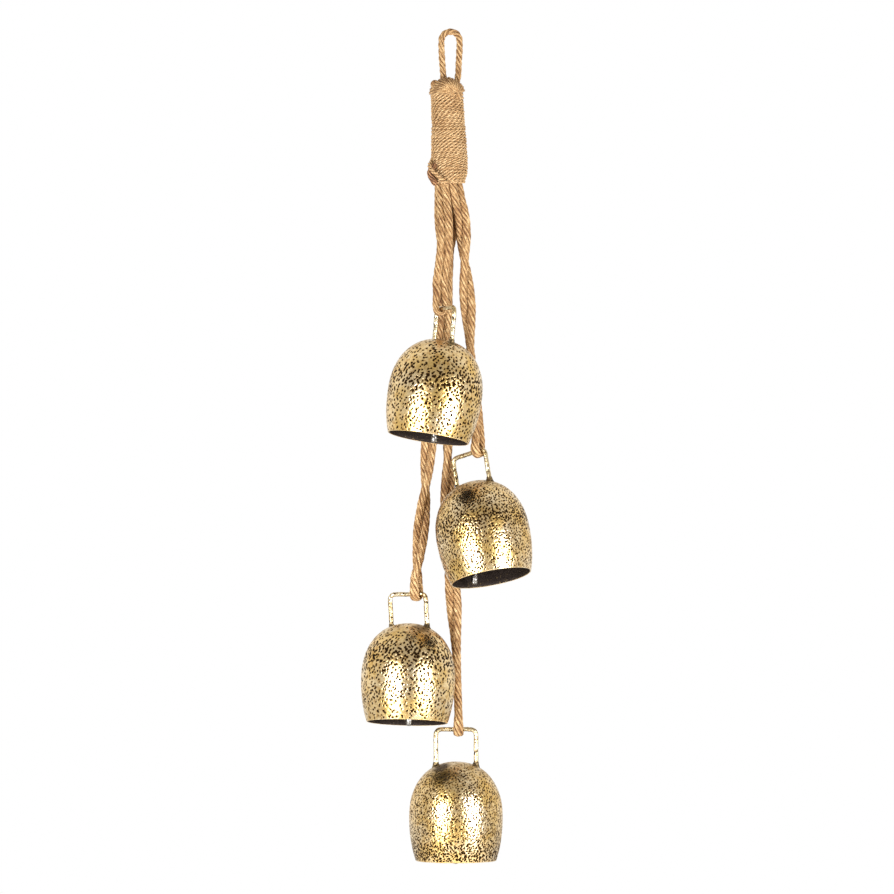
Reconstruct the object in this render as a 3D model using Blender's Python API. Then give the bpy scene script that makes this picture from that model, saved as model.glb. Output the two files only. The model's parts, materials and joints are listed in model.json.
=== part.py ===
"""Hanging cluster of four hammered bells on doubled jute ropes.

Each bell is a spun sheet-metal shell with a wire bail brazed to its crown and a rod clapper hung on
a staple inside.  Each rope is one length folded over a bail; its two ends go up into a twine binding,
where all eight ends are bound round the two ends of the hanging loop.

Metres, +Z up, -Y is the front.  The origin is the inside top of the hanging loop, where a hook bears.
"""
import math

import bmesh
import bpy
from mathutils import Matrix, Vector

GAP = 0.0003

# bell shell, heights from the mouth
MOUTH_RADIUS = 0.0358
BELLY_RADIUS = 0.0414
BELLY_HEIGHT = 0.0380
CREST_HEIGHT = 0.0870
SHEET = 0.0012
CURVE_POWER = 2.2
SHELL_SIDES = 28
SKIRT_RINGS = 3
DOME_RINGS = 7

# bail and the braze at its feet
BAIL_WIRE = 0.0040
BAIL_HALF_SPAN = 0.01775
BAIL_CORNER = 0.0045
BAIL_FOOT = 0.0850
CORNER_STEPS = 4
BRAZE_FOOT_RADIUS = 0.0044
BRAZE_NECK_RADIUS = 0.0029
BRAZE_RISE = 0.0022
BRAZE_SIDES = 12

# staple and clapper
STAPLE_WIRE = 0.0028
STAPLE_RADIUS = 0.0050
STAPLE_CENTRE = 0.0790
STAPLE_TOP = 0.0846
CLAPPER_WIRE = 0.0024
CLAPPER_ROD = 0.0048
CLAPPER_TIP = 0.0058
CLAPPER_EYE = 0.0036
CLAPPER_LENGTH = 0.0765

# ropes: each leg of a doubled rope, and the legs' half spacing
ROPE = 0.0070
LEG_HALF_SPACING = 0.00395
BOUND_ROPE = 0.0058
BIGHT_ROPE = 0.0046
BIGHT_RADIUS = BAIL_WIRE / 2 + 1.5 * GAP + BIGHT_ROPE / 2
BIGHT_STEPS = 8
GATHER_RISE = 0.0150
ROPE_SWELL = 0.0450

# hanging loop
LOOP_ROPE = 0.0064
LOOP_HALF_SPAN = 0.0079
LOOP_NECK_HALF_SPAN = 0.0062
LOOP_BOUND_HALF_SPAN = 0.00330
LOOP_BOUND_ROPE = 0.0058
LOOP_END = -0.1200

# twine binding
BINDING_TOP = -0.0500
BINDING_FOOT = -0.1316
BINDING_BORE = 0.01245
BINDING_LIP_BORE = 0.01345
BINDING_LIP = 0.0090
SLOT_RADIUS = 0.00905
BINDING_SIDES = 28
ROPE_EXIT = -0.1320

# outside of the binding: height, centre x, radius
BINDING_PROFILE = (
    (-0.0500, -0.0030, 0.0140),
    (-0.0512, -0.0030, 0.0146),
    (-0.0600, -0.0028, 0.0146),
    (-0.0780, -0.0020, 0.0149),
    (-0.0792, -0.0019, 0.0143),
    (-0.0804, -0.0019, 0.0152),
    (-0.0860, -0.0017, 0.0155),
    (-0.0872, -0.0016, 0.0149),
    (-0.0884, -0.0016, 0.0157),
    (-0.1020, -0.0011, 0.0160),
    (-0.1130, -0.0009, 0.0163),
    (-0.1190, -0.0010, 0.0162),
    (-0.1202, -0.0011, 0.0154),
    (-0.1214, -0.0012, 0.0160),
    (-0.1300, -0.0019, 0.0149),
    (-0.1316, -0.0021, 0.0139),
)

# cut end of a rope that shows at the foot of the binding, and the twine's last turn over it
TAIL_ROPE = 0.0046
TAIL_ROUTE = (
    (-0.0148, -0.0130, -0.1110),
    (-0.0156, -0.0124, -0.1180),
    (-0.0158, -0.0124, -0.1255),
    (-0.0146, -0.0118, -0.1325),
)
HITCH_TWINE = 0.0024
HITCH_ROUTE = (
    (-0.0188, 0.0010, -0.1100),
    (-0.0190, -0.0068, -0.1125),
    (-0.0192, -0.0130, -0.1160),
    (-0.0172, -0.0168, -0.1195),
    (-0.0118, -0.0178, -0.1240),
    (-0.0066, -0.0170, -0.1280),
    (-0.0026, -0.0164, -0.1308),
)

# bells from the top down: mouth centre, roll, pitch, yaw in degrees, rope's place along the bail,
# bail height, bail's lean at its top along x and y, clapper's lean from plumb in degrees
BELLS = (
    ((-0.0195, -0.0380, -0.3540), 8.8, 6.6, -65.0, -0.0106, 0.1150, (0.0, -0.0025), -5.0),
    ((0.0356, -0.0162, -0.4767), -10.6, 12.2, -35.0, 0.0106, 0.1125, (0.0008, 0.0), 0.0),
    ((-0.0383, 0.0023, -0.6043), 1.4, 7.1, -28.0, 0.0088, 0.1130, (-0.0026, 0.0), 0.0),
    ((0.0048, 0.0272, -0.7275), 0.0, 0.0, 0.0, 0.0022, 0.1155, (0.0, 0.0), 0.0),
)

# each rope: binding slots of its two ends, length of the pieces its curve is drawn in, places of the
# cut ends, and the route of the legs' middle with the direction from the second leg to the first, in
# degrees from +X
ROPES = (
    {
        "slots": (5, 4),
        "step": 0.0140,
        "tops": ((-0.0073, -0.0104, -0.0400), (-0.0134, -0.0043, -0.0392)),
        "route": (
            (-0.0058, -0.0074, -0.1450, -42.0),
            (-0.0048, -0.0114, -0.1650, -20.0),
            (-0.0052, -0.0136, -0.1850, 5.0),
            (-0.0074, -0.0142, -0.2050, 22.0),
            (-0.0094, -0.0142, -0.2200, 25.0),
        ),
    },
    {
        "slots": (7, 6),
        "step": 0.0130,
        "tops": ((0.0056, -0.0035, -0.0600), (0.0020, -0.0099, -0.0402)),
        "route": (
            (0.0068, -0.0062, -0.1450, 35.0),
            (0.0102, -0.0064, -0.1620, 5.0),
            (0.0123, -0.0054, -0.1960, -82.0),
            (0.0146, -0.0034, -0.2280, -168.0),
            (0.0169, 0.0010, -0.2640, -255.0),
            (0.0186, 0.0048, -0.3000, -295.0),
            (0.0225, 0.0048, -0.3300, -305.0),
        ),
    },
    {
        "slots": (3, 2),
        "step": 0.0145,
        "tops": ((-0.0133, 0.0043, -0.0405), (-0.0071, 0.0103, -0.0415)),
        "route": (
            (-0.0084, 0.0056, -0.1450, -130.0),
            (-0.0074, 0.0002, -0.1650, -158.0),
            (-0.0050, -0.0050, -0.1850, -178.0),
            (-0.0050, -0.0050, -0.2050, -180.0),
            (-0.0052, -0.0020, -0.2300, -180.0),
            (-0.0056, 0.0030, -0.2550, -182.0),
            (-0.0100, 0.0120, -0.2850, -202.0),
            (-0.0140, 0.0152, -0.3100, -240.0),
            (-0.0172, 0.0153, -0.3350, -300.0),
            (-0.0192, 0.0142, -0.3600, -358.0),
            (-0.0220, 0.0136, -0.3970, -448.0),
            (-0.0264, 0.0135, -0.4400, -556.0),
            (-0.0290, 0.0134, -0.4660, -618.0),
        ),
    },
    {
        "slots": (1, 0),
        "step": 0.0168,
        "tops": ((0.0008, 0.0105, -0.0410), (0.0056, 0.0035, -0.0600)),
        "route": (
            (0.0044, 0.0068, -0.1450, 138.0),
            (0.0026, 0.0076, -0.1650, 150.0),
            (-0.0030, 0.0042, -0.1850, 174.0),
            (-0.0046, 0.0028, -0.2050, 180.0),
            (-0.0050, 0.0060, -0.2300, 180.0),
            (-0.0046, 0.0112, -0.2550, 178.0),
            (-0.0036, 0.0205, -0.2850, 165.0),
            (-0.0026, 0.0225, -0.3100, 150.0),
            (-0.0022, 0.0230, -0.3400, 120.0),
            (-0.0024, 0.0255, -0.3720, 88.0),
            (-0.0022, 0.0300, -0.4120, 5.0),
            (-0.0008, 0.0335, -0.4520, -85.0),
            (0.0022, 0.0320, -0.4900, -170.0),
            (0.0048, 0.0290, -0.5350, -255.0),
            (0.0062, 0.0276, -0.5750, -270.0),
        ),
    },
)

GOLD = {"colour": (0.56, 0.40, 0.16, 1.0), "rough": 0.34, "metal": 1.0}
WIRE = {"colour": (0.66, 0.55, 0.32, 1.0), "rough": 0.32, "metal": 1.0}
BRAZE = {"colour": (0.06, 0.045, 0.03, 1.0), "rough": 0.60, "metal": 0.7}
IRON = {"colour": (0.08, 0.06, 0.05, 1.0), "rough": 0.55, "metal": 0.8}
STEEL = {"colour": (0.62, 0.58, 0.50, 1.0), "rough": 0.28, "metal": 1.0}
JUTE = {"colour": (0.61, 0.36, 0.15, 1.0), "rough": 0.92, "metal": 0.0}
TWINE = {"colour": (0.66, 0.41, 0.19, 1.0), "rough": 0.92, "metal": 0.0}
CUT_JUTE = {"colour": (0.38, 0.19, 0.07, 1.0), "rough": 0.95, "metal": 0.0}

UP = Vector((0.0, 0.0, 1.0))


def clear_scene():
    """Remove every object from the opening scene."""
    for obj in list(bpy.data.objects):
        bpy.data.objects.remove(obj, do_unlink=True)


def add_material(name, look):
    """Principled material for one piece."""
    mat = bpy.data.materials.new(name)
    mat.use_nodes = True
    bsdf = mat.node_tree.nodes["Principled BSDF"]
    bsdf.inputs["Base Color"].default_value = look["colour"]
    bsdf.inputs["Roughness"].default_value = look["rough"]
    bsdf.inputs["Metallic"].default_value = look["metal"]
    mat.diffuse_color = look["colour"]
    return mat


def add_object(name, data, look):
    """Link a new object that carries the data and its own material."""
    obj = bpy.data.objects.new(name, data)
    bpy.context.scene.collection.objects.link(obj)
    if not data.materials:
        data.materials.append(add_material(name + "_finish", look))
    return obj


def add_empty(name, place):
    """Empty on a joint axis, for the pieces that turn about it."""
    empty = bpy.data.objects.new(name, None)
    bpy.context.scene.collection.objects.link(empty)
    empty.matrix_world = place
    return empty


def closed_mesh(name, verts, faces):
    """Mesh with outward faces, shaded smooth."""
    mesh = bpy.data.meshes.new(name)
    mesh.from_pydata(verts, [], faces)
    bm = bmesh.new()
    bm.from_mesh(mesh)
    bmesh.ops.recalc_face_normals(bm, faces=bm.faces)
    bm.to_mesh(mesh)
    bm.free()
    mesh.polygons.foreach_set("use_smooth", [True] * len(mesh.polygons))
    return mesh


def ring(centre, radius, z, sides):
    """Corners of a level ring."""
    return [
        (
            centre[0] + radius * math.cos(2 * math.pi * k / sides),
            centre[1] + radius * math.sin(2 * math.pi * k / sides),
            z,
        )
        for k in range(sides)
    ]


def skin(rings, sides, first=0):
    """Quads between neighbouring rings of corners."""
    faces = []
    for r in range(rings - 1):
        for k in range(sides):
            a = first + r * sides + k
            b = first + r * sides + (k + 1) % sides
            faces.append((a, b, b + sides, a + sides))
    return faces


def shell_half(mouth, belly, crest):
    """Ring radii and heights up one side of the shell, without its pole."""
    rows = []
    for k in range(SKIRT_RINGS):
        z = BELLY_HEIGHT * k / SKIRT_RINGS
        drop = (BELLY_HEIGHT - z) / BELLY_HEIGHT
        rows.append((belly - (belly - mouth) * drop**CURVE_POWER, z))
    for k in range(DOME_RINGS):
        turn = 0.5 * math.pi * k / DOME_RINGS
        radius = belly * math.cos(turn) ** (2 / CURVE_POWER)
        rise = (crest - BELLY_HEIGHT) * math.sin(turn) ** (2 / CURVE_POWER)
        rows.append((radius, BELLY_HEIGHT + rise))
    return rows


def shell_mesh():
    """Spun bell: outer skin, mouth edge and inner skin."""
    outer = shell_half(MOUTH_RADIUS, BELLY_RADIUS, CREST_HEIGHT)
    inner = shell_half(MOUTH_RADIUS - SHEET, BELLY_RADIUS - SHEET, CREST_HEIGHT - SHEET)
    rows = outer[::-1] + inner
    verts = []
    for radius, z in rows:
        verts += ring((0.0, 0.0), radius, z, SHELL_SIDES)
    faces = skin(len(rows), SHELL_SIDES)
    verts.append((0.0, 0.0, CREST_HEIGHT))
    verts.append((0.0, 0.0, CREST_HEIGHT - SHEET))
    last = (len(rows) - 1) * SHELL_SIDES
    for k in range(SHELL_SIDES):
        after = (k + 1) % SHELL_SIDES
        faces.append((after, k, len(verts) - 2))
        faces.append((last + k, last + after, len(verts) - 1))
    return closed_mesh("bell_shell", verts, faces)


def dome_height(radius):
    """Height of the shell's outside over the mouth, at a distance from its axis."""
    part = 1 - (radius / BELLY_RADIUS) ** CURVE_POWER
    return BELLY_HEIGHT + (CREST_HEIGHT - BELLY_HEIGHT) * part ** (1 / CURVE_POWER)


def braze_mesh(bell, side):
    """Collar of braze round one foot of the bail, down to the dome."""
    verts = []
    bore = BAIL_WIRE / 2 + 1.6 * GAP
    top = BAIL_FOOT + BRAZE_RISE
    tilt = Vector(bell.lean) / (bell.height - BAIL_FOOT)
    middle_radius = 0.6 * BRAZE_FOOT_RADIUS + 0.4 * BRAZE_NECK_RADIUS
    rows = (
        (bore, 0.0),
        (BRAZE_FOOT_RADIUS, 0.0),
        (middle_radius, 0.45),
        (BRAZE_NECK_RADIUS, 1.0),
        (bore, 1.0),
    )
    for radius, share in rows:
        for k in range(BRAZE_SIDES):
            turn = 2 * math.pi * k / BRAZE_SIDES
            x = side * BAIL_HALF_SPAN + radius * math.cos(turn)
            y = radius * math.sin(turn)
            z = dome_height(math.hypot(x, y)) + 2 * GAP
            z += (top - z) * share
            rise = max(z - BAIL_FOOT, 0.0)
            verts.append((x + tilt.x * rise, y + tilt.y * rise, z))
    faces = skin(len(rows), BRAZE_SIDES)
    last = (len(rows) - 1) * BRAZE_SIDES
    for k in range(BRAZE_SIDES):
        after = (k + 1) % BRAZE_SIDES
        faces.append((last + k, last + after, after, k))
    return closed_mesh("bail_braze", verts, faces)


def tube(name, points, radii, look, place=None, resolution=2, twist="MINIMUM"):
    """Solid tube along the points, thinner or thicker as the radii say."""
    curve = bpy.data.curves.new(name, "CURVE")
    curve.dimensions = "3D"
    curve.twist_mode = twist
    curve.bevel_depth = 1.0
    curve.bevel_resolution = resolution
    curve.use_fill_caps = True
    spline = curve.splines.new("POLY")
    spline.points.add(len(points) - 1)
    back = place.inverted() if place else Matrix.Identity(4)
    for point, at, radius in zip(spline.points, points, radii):
        local = back @ Vector(at)
        point.co = (local.x, local.y, local.z, 1.0)
        point.radius = radius
    spline.use_smooth = True
    obj = add_object(name, curve, look)
    if place:
        obj.matrix_world = place
    return obj


def smooth_route(rows, z):
    """Middle and turn of a rope's legs at a height, on the smooth curve through its route rows."""
    k = 0
    while k < len(rows) - 2 and rows[k + 1].z > z:
        k += 1
    a, b = rows[k], rows[k + 1]
    before = rows[max(k - 1, 0)]
    after = rows[min(k + 2, len(rows) - 1)]
    t = (a.z - z) / (a.z - b.z)
    slope_a = (b - before) / (before.z - b.z) * (a.z - b.z)
    slope_b = (after - a) / (a.z - after.z) * (a.z - b.z)
    at = (
        (2 * t**3 - 3 * t**2 + 1) * a
        + (t**3 - 2 * t**2 + t) * slope_a
        + (-2 * t**3 + 3 * t**2) * b
        + (t**3 - t**2) * slope_b
    )
    return Vector((at.x, at.y, z)), math.radians(at.w)


def ease(value):
    """Smooth step from 0 to 1."""
    value = min(max(value, 0.0), 1.0)
    return value * value * (3 - 2 * value)


def binding_axis(z):
    """Middle of the binding at a height."""
    rows = BINDING_PROFILE
    if z >= rows[0][0]:
        return rows[0][1]
    for upper, lower in zip(rows, rows[1:]):
        if z >= lower[0]:
            share = (upper[0] - z) / (upper[0] - lower[0])
            return upper[1] + share * (lower[1] - upper[1])
    return rows[-1][1]


def slot_place(slot, z):
    """Place of one bound rope end inside the binding."""
    turn = math.radians(22.5 + 45.0 * slot)
    return Vector(
        (binding_axis(z) + SLOT_RADIUS * math.cos(turn), SLOT_RADIUS * math.sin(turn), z)
    )


class Bell:
    """Placing of one bell: its frame has the mouth's centre at 0 and the bail along x."""

    def __init__(self, row):
        mouth, roll, pitch, yaw, seat, self.height, self.lean, self.clapper_lean = row
        turn = (
            Matrix.Rotation(math.radians(roll), 4, "Y")
            @ Matrix.Rotation(math.radians(-pitch), 4, "X")
            @ Matrix.Rotation(math.radians(yaw), 4, "Z")
        )
        self.frame = Matrix.Translation(mouth) @ turn
        self.seat = Vector((seat + self.lean[0], self.lean[1], self.height))
        self.hook = self.frame @ self.seat
        self.bar = (turn.to_3x3() @ Vector((1.0, 0.0, 0.0))).normalized()
        self.swing = Matrix.Translation(self.hook) @ turn

    def across(self):
        """Level direction square to the bail's bar."""
        return self.bar.cross(UP).normalized() * -1.0

    def clapper_place(self):
        """Frame of the clapper: plumb, on the staple's lowest point."""
        down = self.frame.to_3x3().transposed() @ -UP
        slide = math.atan2(down.x, -down.z)
        local = Vector(
            (
                STAPLE_RADIUS * math.sin(slide),
                0.0,
                STAPLE_CENTRE - STAPLE_RADIUS * math.cos(slide),
            )
        )
        along = self.frame.to_3x3() @ Vector((math.cos(slide), 0.0, math.sin(slide)))
        along.normalize()
        side = UP.cross(along).normalized()
        turn = Matrix((along, side, UP)).transposed().to_4x4()
        lean = Matrix.Rotation(math.radians(self.clapper_lean), 4, "X")
        return Matrix.Translation(self.frame @ local) @ turn @ lean


def bail_points(bell):
    """Centre line of the bail wire in the bell's frame."""
    path = []
    for k in range(3):
        rise = (bell.height - BAIL_CORNER - BAIL_FOOT) * k / 2
        path.append(Vector((-BAIL_HALF_SPAN, 0.0, BAIL_FOOT + rise)))
    for k in range(1, CORNER_STEPS + 1):
        turn = 0.5 * math.pi * k / CORNER_STEPS
        x = -BAIL_HALF_SPAN + BAIL_CORNER * (1 - math.cos(turn))
        z = bell.height - BAIL_CORNER * (1 - math.sin(turn))
        path.append(Vector((x, 0.0, z)))
    path += [Vector((-p.x, 0.0, p.z)) for p in reversed(path)]
    for p in path:
        share = (p.z - BAIL_FOOT) / (bell.height - BAIL_FOOT)
        p.x += bell.lean[0] * share
        p.y += bell.lean[1] * share
    return path


def staple_points():
    """Centre line of the staple, a U that hangs from the crown."""
    path = [Vector((-STAPLE_RADIUS, 0.0, STAPLE_TOP - 0.0015))]
    for k in range(9):
        turn = math.pi * k / 8
        path.append(
            Vector(
                (
                    -STAPLE_RADIUS * math.cos(turn),
                    0.0,
                    STAPLE_CENTRE - STAPLE_RADIUS * math.sin(turn),
                )
            )
        )
    path.append(Vector((STAPLE_RADIUS, 0.0, STAPLE_TOP - 0.0015)))
    return path


def clapper_points():
    """Centre line and radii of the clapper: an eye, then a rod that ends fuller."""
    top = (STAPLE_WIRE + CLAPPER_WIRE) / 2 + 1.5 * GAP
    centre = top - CLAPPER_EYE
    path, radii = [], []
    for k in range(11):
        turn = math.radians(-62.0 + 332.0 * k / 10)
        y = CLAPPER_EYE * math.cos(turn)
        path.append(Vector((0.0, y, centre + CLAPPER_EYE * math.sin(turn))))
        radii.append(CLAPPER_WIRE / 2)
    neck = centre - CLAPPER_EYE - 0.0030
    tip = -CLAPPER_LENGTH
    for share, width in (
        (0.0, CLAPPER_WIRE),
        (0.05, CLAPPER_ROD),
        (0.45, CLAPPER_ROD),
        (0.85, 0.5 * (CLAPPER_ROD + CLAPPER_TIP)),
        (0.95, CLAPPER_TIP),
        (1.0, 0.8 * CLAPPER_TIP),
    ):
        path.append(Vector((0.0, 0.0, neck + share * (tip - neck))))
        radii.append(width / 2)
    return path, radii


def add_bell(number, bell, shell):
    """One bell: shell, bail, braze, staple and clapper."""
    name = "bell_%d_" % number
    empty = add_empty(name + "swing", bell.swing)
    offset = Matrix.Translation(-bell.seat)
    body = add_object(name + "shell", shell.copy(), GOLD)
    bail_path = bail_points(bell)
    bail = tube(name + "bail", bail_path, [BAIL_WIRE / 2] * len(bail_path), WIRE)
    left = add_object(name + "braze_left", braze_mesh(bell, -1), BRAZE)
    right = add_object(name + "braze_right", braze_mesh(bell, 1), BRAZE)
    staple_path = staple_points()
    staple = tube(name + "staple", staple_path, [STAPLE_WIRE / 2] * len(staple_path), IRON)
    for piece in (body, bail, left, right, staple):
        piece.parent = empty
        piece.matrix_local = offset
    clapper_path, radii = clapper_points()
    clapper = tube(name + "clapper", clapper_path, radii, STEEL)
    clapper.matrix_world = bell.clapper_place()


def bound_points(rope, side):
    """Centre line of one leg inside the binding, from its cut end down, with its radii."""
    slot = rope["slots"][0 if side > 0 else 1]
    cut = Vector(rope["tops"][0 if side > 0 else 1])
    points, radii = [], []
    inside = cut.z
    if cut.z > BINDING_TOP:
        held = slot_place(slot, BINDING_TOP - BINDING_LIP)
        points += [cut, cut.lerp(held, 0.5)]
        radii += [0.5 * (ROPE + BOUND_ROPE) / 2, BOUND_ROPE / 2]
        inside = held.z
    foot = ROPE_EXIT + GATHER_RISE / 5
    for k in range(5):
        points.append(slot_place(slot, inside + (foot - inside) * k / 4))
        radii.append(BOUND_ROPE / 2)
    return points, radii


def route_rows(rope, bell):
    """Route of a rope's middle below the binding, with its ends where it is bound and hooked."""
    foot = ROPE_EXIT + GATHER_RISE / 5
    first, second = [slot_place(slot, foot) for slot in rope["slots"]]
    turn = math.degrees(math.atan2(first.y - second.y, first.x - second.x))
    rows = [Vector(((first.x + second.x) / 2, (first.y + second.y) / 2, foot, turn))]
    rows += [Vector(row) for row in rope["route"]]
    across = bell.across()
    seat = math.degrees(math.atan2(across.y, across.x))
    half_turns = round((rows[-1].w - seat) / 180.0)
    gather = bell.hook.z + GATHER_RISE
    rows.append(Vector((bell.hook.x, bell.hook.y, gather, seat + 180.0 * half_turns)))
    return rows, (first - second).length / 2


def leg_points(rope, bell, side):
    """Centre line of one leg, from its cut end down to the bight, with its radii."""
    points, radii = bound_points(rope, side)
    rows, bound_half = route_rows(rope, bell)
    top, gather = rows[0].z, rows[-1].z
    count = round((top - gather) / rope["step"])
    for k in range(1, count + 1):
        z = top + (gather - top) * k / count
        middle, turn = smooth_route(rows, z)
        grown = ease((top - z) / ROPE_SWELL)
        half = bound_half + (LEG_HALF_SPACING - bound_half) * grown
        out = Vector((math.cos(turn), math.sin(turn), 0.0)) * side
        points.append(middle + half * out)
        radii.append((BOUND_ROPE + (ROPE - BOUND_ROPE) * grown) / 2)
    points.append(bell.hook + out * BIGHT_RADIUS + UP * 0.45 * GATHER_RISE)
    radii.append(0.5 * (BIGHT_ROPE + ROPE) / 2)
    return points, radii, out


def add_rope(number, rope, bell):
    """One rope: down from its first cut end, under the bail, and up to its second."""
    down, down_radii, out = leg_points(rope, bell, 1)
    up, up_radii, _ = leg_points(rope, bell, -1)
    lift = out.cross(bell.bar).normalized()
    if lift.z < 0:
        lift.negate()
    bight = []
    for k in range(BIGHT_STEPS + 1):
        turn = math.pi * k / BIGHT_STEPS
        bight.append(
            bell.hook
            + out * BIGHT_RADIUS * math.cos(turn)
            - lift * BIGHT_RADIUS * math.sin(turn)
        )
    points = down + bight + up[::-1]
    radii = down_radii + [BIGHT_ROPE / 2] * len(bight) + up_radii[::-1]
    pivot = Matrix.Translation((*sway_middle(rope), ROPE_EXIT))
    tube("rope_%d" % number, points, radii, JUTE, pivot)


def sway_middle(rope):
    """Middle of a rope's two legs where they leave the binding."""
    pair = [slot_place(slot, ROPE_EXIT) for slot in rope["slots"]]
    return (pair[0].x + pair[1].x) / 2, (pair[0].y + pair[1].y) / 2


def add_loop():
    """Hanging loop: an eye of rope whose two ends run down the middle of the binding."""
    top = LOOP_ROPE / 2
    centre = top - LOOP_HALF_SPAN
    half = [(0.0, top)]
    for k in range(1, 7):
        turn = 0.5 * math.pi * k / 6
        half.append(
            (LOOP_HALF_SPAN * math.sin(turn), centre + LOOP_HALF_SPAN * math.cos(turn))
        )
    half += [(0.0078, -0.0150), (0.0071, -0.0270)]
    sides = []
    for side in (-1, 1):
        path = [Vector((side * x, 0.0, z)) for x, z in half]
        radii = [LOOP_ROPE / 2] * len(half)
        path.append(Vector((side * LOOP_NECK_HALF_SPAN, 0.0, -0.0385)))
        radii.append(LOOP_ROPE / 2)
        for z in (-0.0480, -0.0570, -0.0750, -0.0980, LOOP_END):
            settled = ease((-0.0385 - z) / 0.0185)
            held = binding_axis(z) + side * LOOP_BOUND_HALF_SPAN
            x = side * LOOP_NECK_HALF_SPAN * (1 - settled) + held * settled
            path.append(Vector((x, 0.0, z)))
            radii.append((LOOP_ROPE * (1 - settled) + LOOP_BOUND_ROPE * settled) / 2)
        sides.append((path, radii))
    left, right = sides
    points = left[0][::-1] + right[0][1:]
    radii = left[1][::-1] + right[1][1:]
    tube("hanging_loop", points, radii, JUTE, resolution=3)


def add_binding():
    """Wound twine as one sleeve, stepped where its blocks of turns meet."""
    verts = []
    rows = 0
    for z, x, radius in BINDING_PROFILE:
        verts += ring((x, 0.0), radius, z, BINDING_SIDES)
        rows += 1
    lips = (BINDING_FOOT, BINDING_TOP)
    for z in (lips[0], lips[0] + BINDING_LIP, -0.1100, -0.0884, lips[1] - BINDING_LIP, lips[1]):
        bore = BINDING_LIP_BORE if z in lips else BINDING_BORE
        verts += ring((binding_axis(z), 0.0), bore, z, BINDING_SIDES)
        rows += 1
    faces = skin(rows, BINDING_SIDES)
    last = (rows - 1) * BINDING_SIDES
    for k in range(BINDING_SIDES):
        after = (k + 1) % BINDING_SIDES
        faces.append((last + k, last + after, after, k))
    add_object("binding_twine", closed_mesh("binding_twine", verts, faces), TWINE)


def add_binding_ends():
    """The cut rope tail at the binding's foot and the twine's last turn over it."""
    tail = [Vector(p) for p in TAIL_ROUTE]
    tube("binding_tail", tail, [TAIL_ROPE / 2] * len(tail), CUT_JUTE)
    hitch = [Vector(p) for p in HITCH_ROUTE]
    tube("twine_hitch", hitch, [HITCH_TWINE / 2] * len(hitch), TWINE)


def build():
    """Make the whole cluster."""
    clear_scene()
    add_loop()
    add_binding()
    add_binding_ends()
    shell = shell_mesh()
    bells = [Bell(row) for row in BELLS]
    for number, (rope, bell) in enumerate(zip(ROPES, bells), 1):
        add_rope(number, rope, bell)
        add_bell(number, bell, shell)
    bpy.data.meshes.remove(shell)
    bpy.context.view_layer.update()


build()
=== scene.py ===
"""Finished look of the hanging cluster of four hammered bells on doubled jute ropes.

Metres, +Z up, -Y is the front.  The bells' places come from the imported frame; the ropes' routes are
the part's own.  Every surface is built here: laid rope, wound twine, hammered sheet and wire.
"""
import json
import math

import bpy
import numpy as np
from mathutils import Matrix, Vector, noise


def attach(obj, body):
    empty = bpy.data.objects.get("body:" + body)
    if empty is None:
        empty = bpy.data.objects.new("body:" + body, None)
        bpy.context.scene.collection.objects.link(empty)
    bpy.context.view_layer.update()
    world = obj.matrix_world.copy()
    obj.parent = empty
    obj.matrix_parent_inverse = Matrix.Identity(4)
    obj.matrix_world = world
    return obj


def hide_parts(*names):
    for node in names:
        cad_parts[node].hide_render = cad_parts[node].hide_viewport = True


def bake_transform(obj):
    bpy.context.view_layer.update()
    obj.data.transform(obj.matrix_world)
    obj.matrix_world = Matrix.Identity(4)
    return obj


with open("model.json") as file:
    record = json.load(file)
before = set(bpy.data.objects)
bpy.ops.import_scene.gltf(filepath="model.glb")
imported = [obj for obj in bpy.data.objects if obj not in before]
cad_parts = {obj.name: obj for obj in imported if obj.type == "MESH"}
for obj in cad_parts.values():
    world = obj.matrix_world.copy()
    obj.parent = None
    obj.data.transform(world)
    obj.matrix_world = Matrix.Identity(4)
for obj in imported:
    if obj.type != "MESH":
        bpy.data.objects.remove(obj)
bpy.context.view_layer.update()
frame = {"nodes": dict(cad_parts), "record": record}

JOINTS = {joint["name"]: joint for joint in frame["record"]["behaviour"]["joints"]}
MM = 0.001
UP = Vector((0.0, 0.0, 1.0))

# bell shell, heights from the mouth
MOUTH_RADIUS = 0.0358
BELLY_RADIUS = 0.0414
BELLY_HEIGHT = 0.0380
CREST_HEIGHT = 0.0870
SHEET = 0.0012
CURVE_POWER = 2.2
SHELL_SIDES = 420
SHELL_ROWS = 190
INNER_ROWS = 30
RIM_ROWS = 5

# bail, braze, staple and clapper
BAIL_WIRE = 0.0040
BAIL_HALF_SPAN = 0.01775
BAIL_CORNER = 0.0045
BAIL_FOOT = 0.0850
BRAZE_FOOT_RADIUS = 0.0038
BRAZE_NECK_RADIUS = 0.0024
BRAZE_RISE = 0.0016
STAPLE_WIRE = 0.0028
STAPLE_RADIUS = 0.0050
STAPLE_CENTRE = 0.0790
STAPLE_TOP = 0.0852
CLAPPER_WIRE = 0.0024
CLAPPER_ROD = 0.0048
CLAPPER_TIP = 0.0058
CLAPPER_EYE = 0.0036
CLAPPER_LENGTH = 0.0765
CLAPPER_PLAY = 0.00045

# ropes: each leg, its place inside the binding, and the flattened fold over the bail
ROPE = 0.0073
BOUND_ROPE = 0.0074
LEG_HALF_SPACING = 0.00335
FOLD_RADIUS = 0.0043
FOLD_WIDTH = 1.22
FOLD_THICKNESS = 0.60
FOLD_REACH = 0.0070
FOLD_FADE = 0.0150
GATHER_RISE = 0.0150
ROPE_SWELL = 0.0450
SLOT_RADIUS = 0.00905
ROPE_EXIT = -0.1320
ROPE_HIDDEN = 0.0180

# hanging loop
LOOP_ROPE = 0.0064
LOOP_SHOWN = 0.0059
LOOP_HALF_SPAN = 0.0079
LOOP_NECK_HALF_SPAN = 0.0062
LOOP_BOUND_HALF_SPAN = 0.00330

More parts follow.
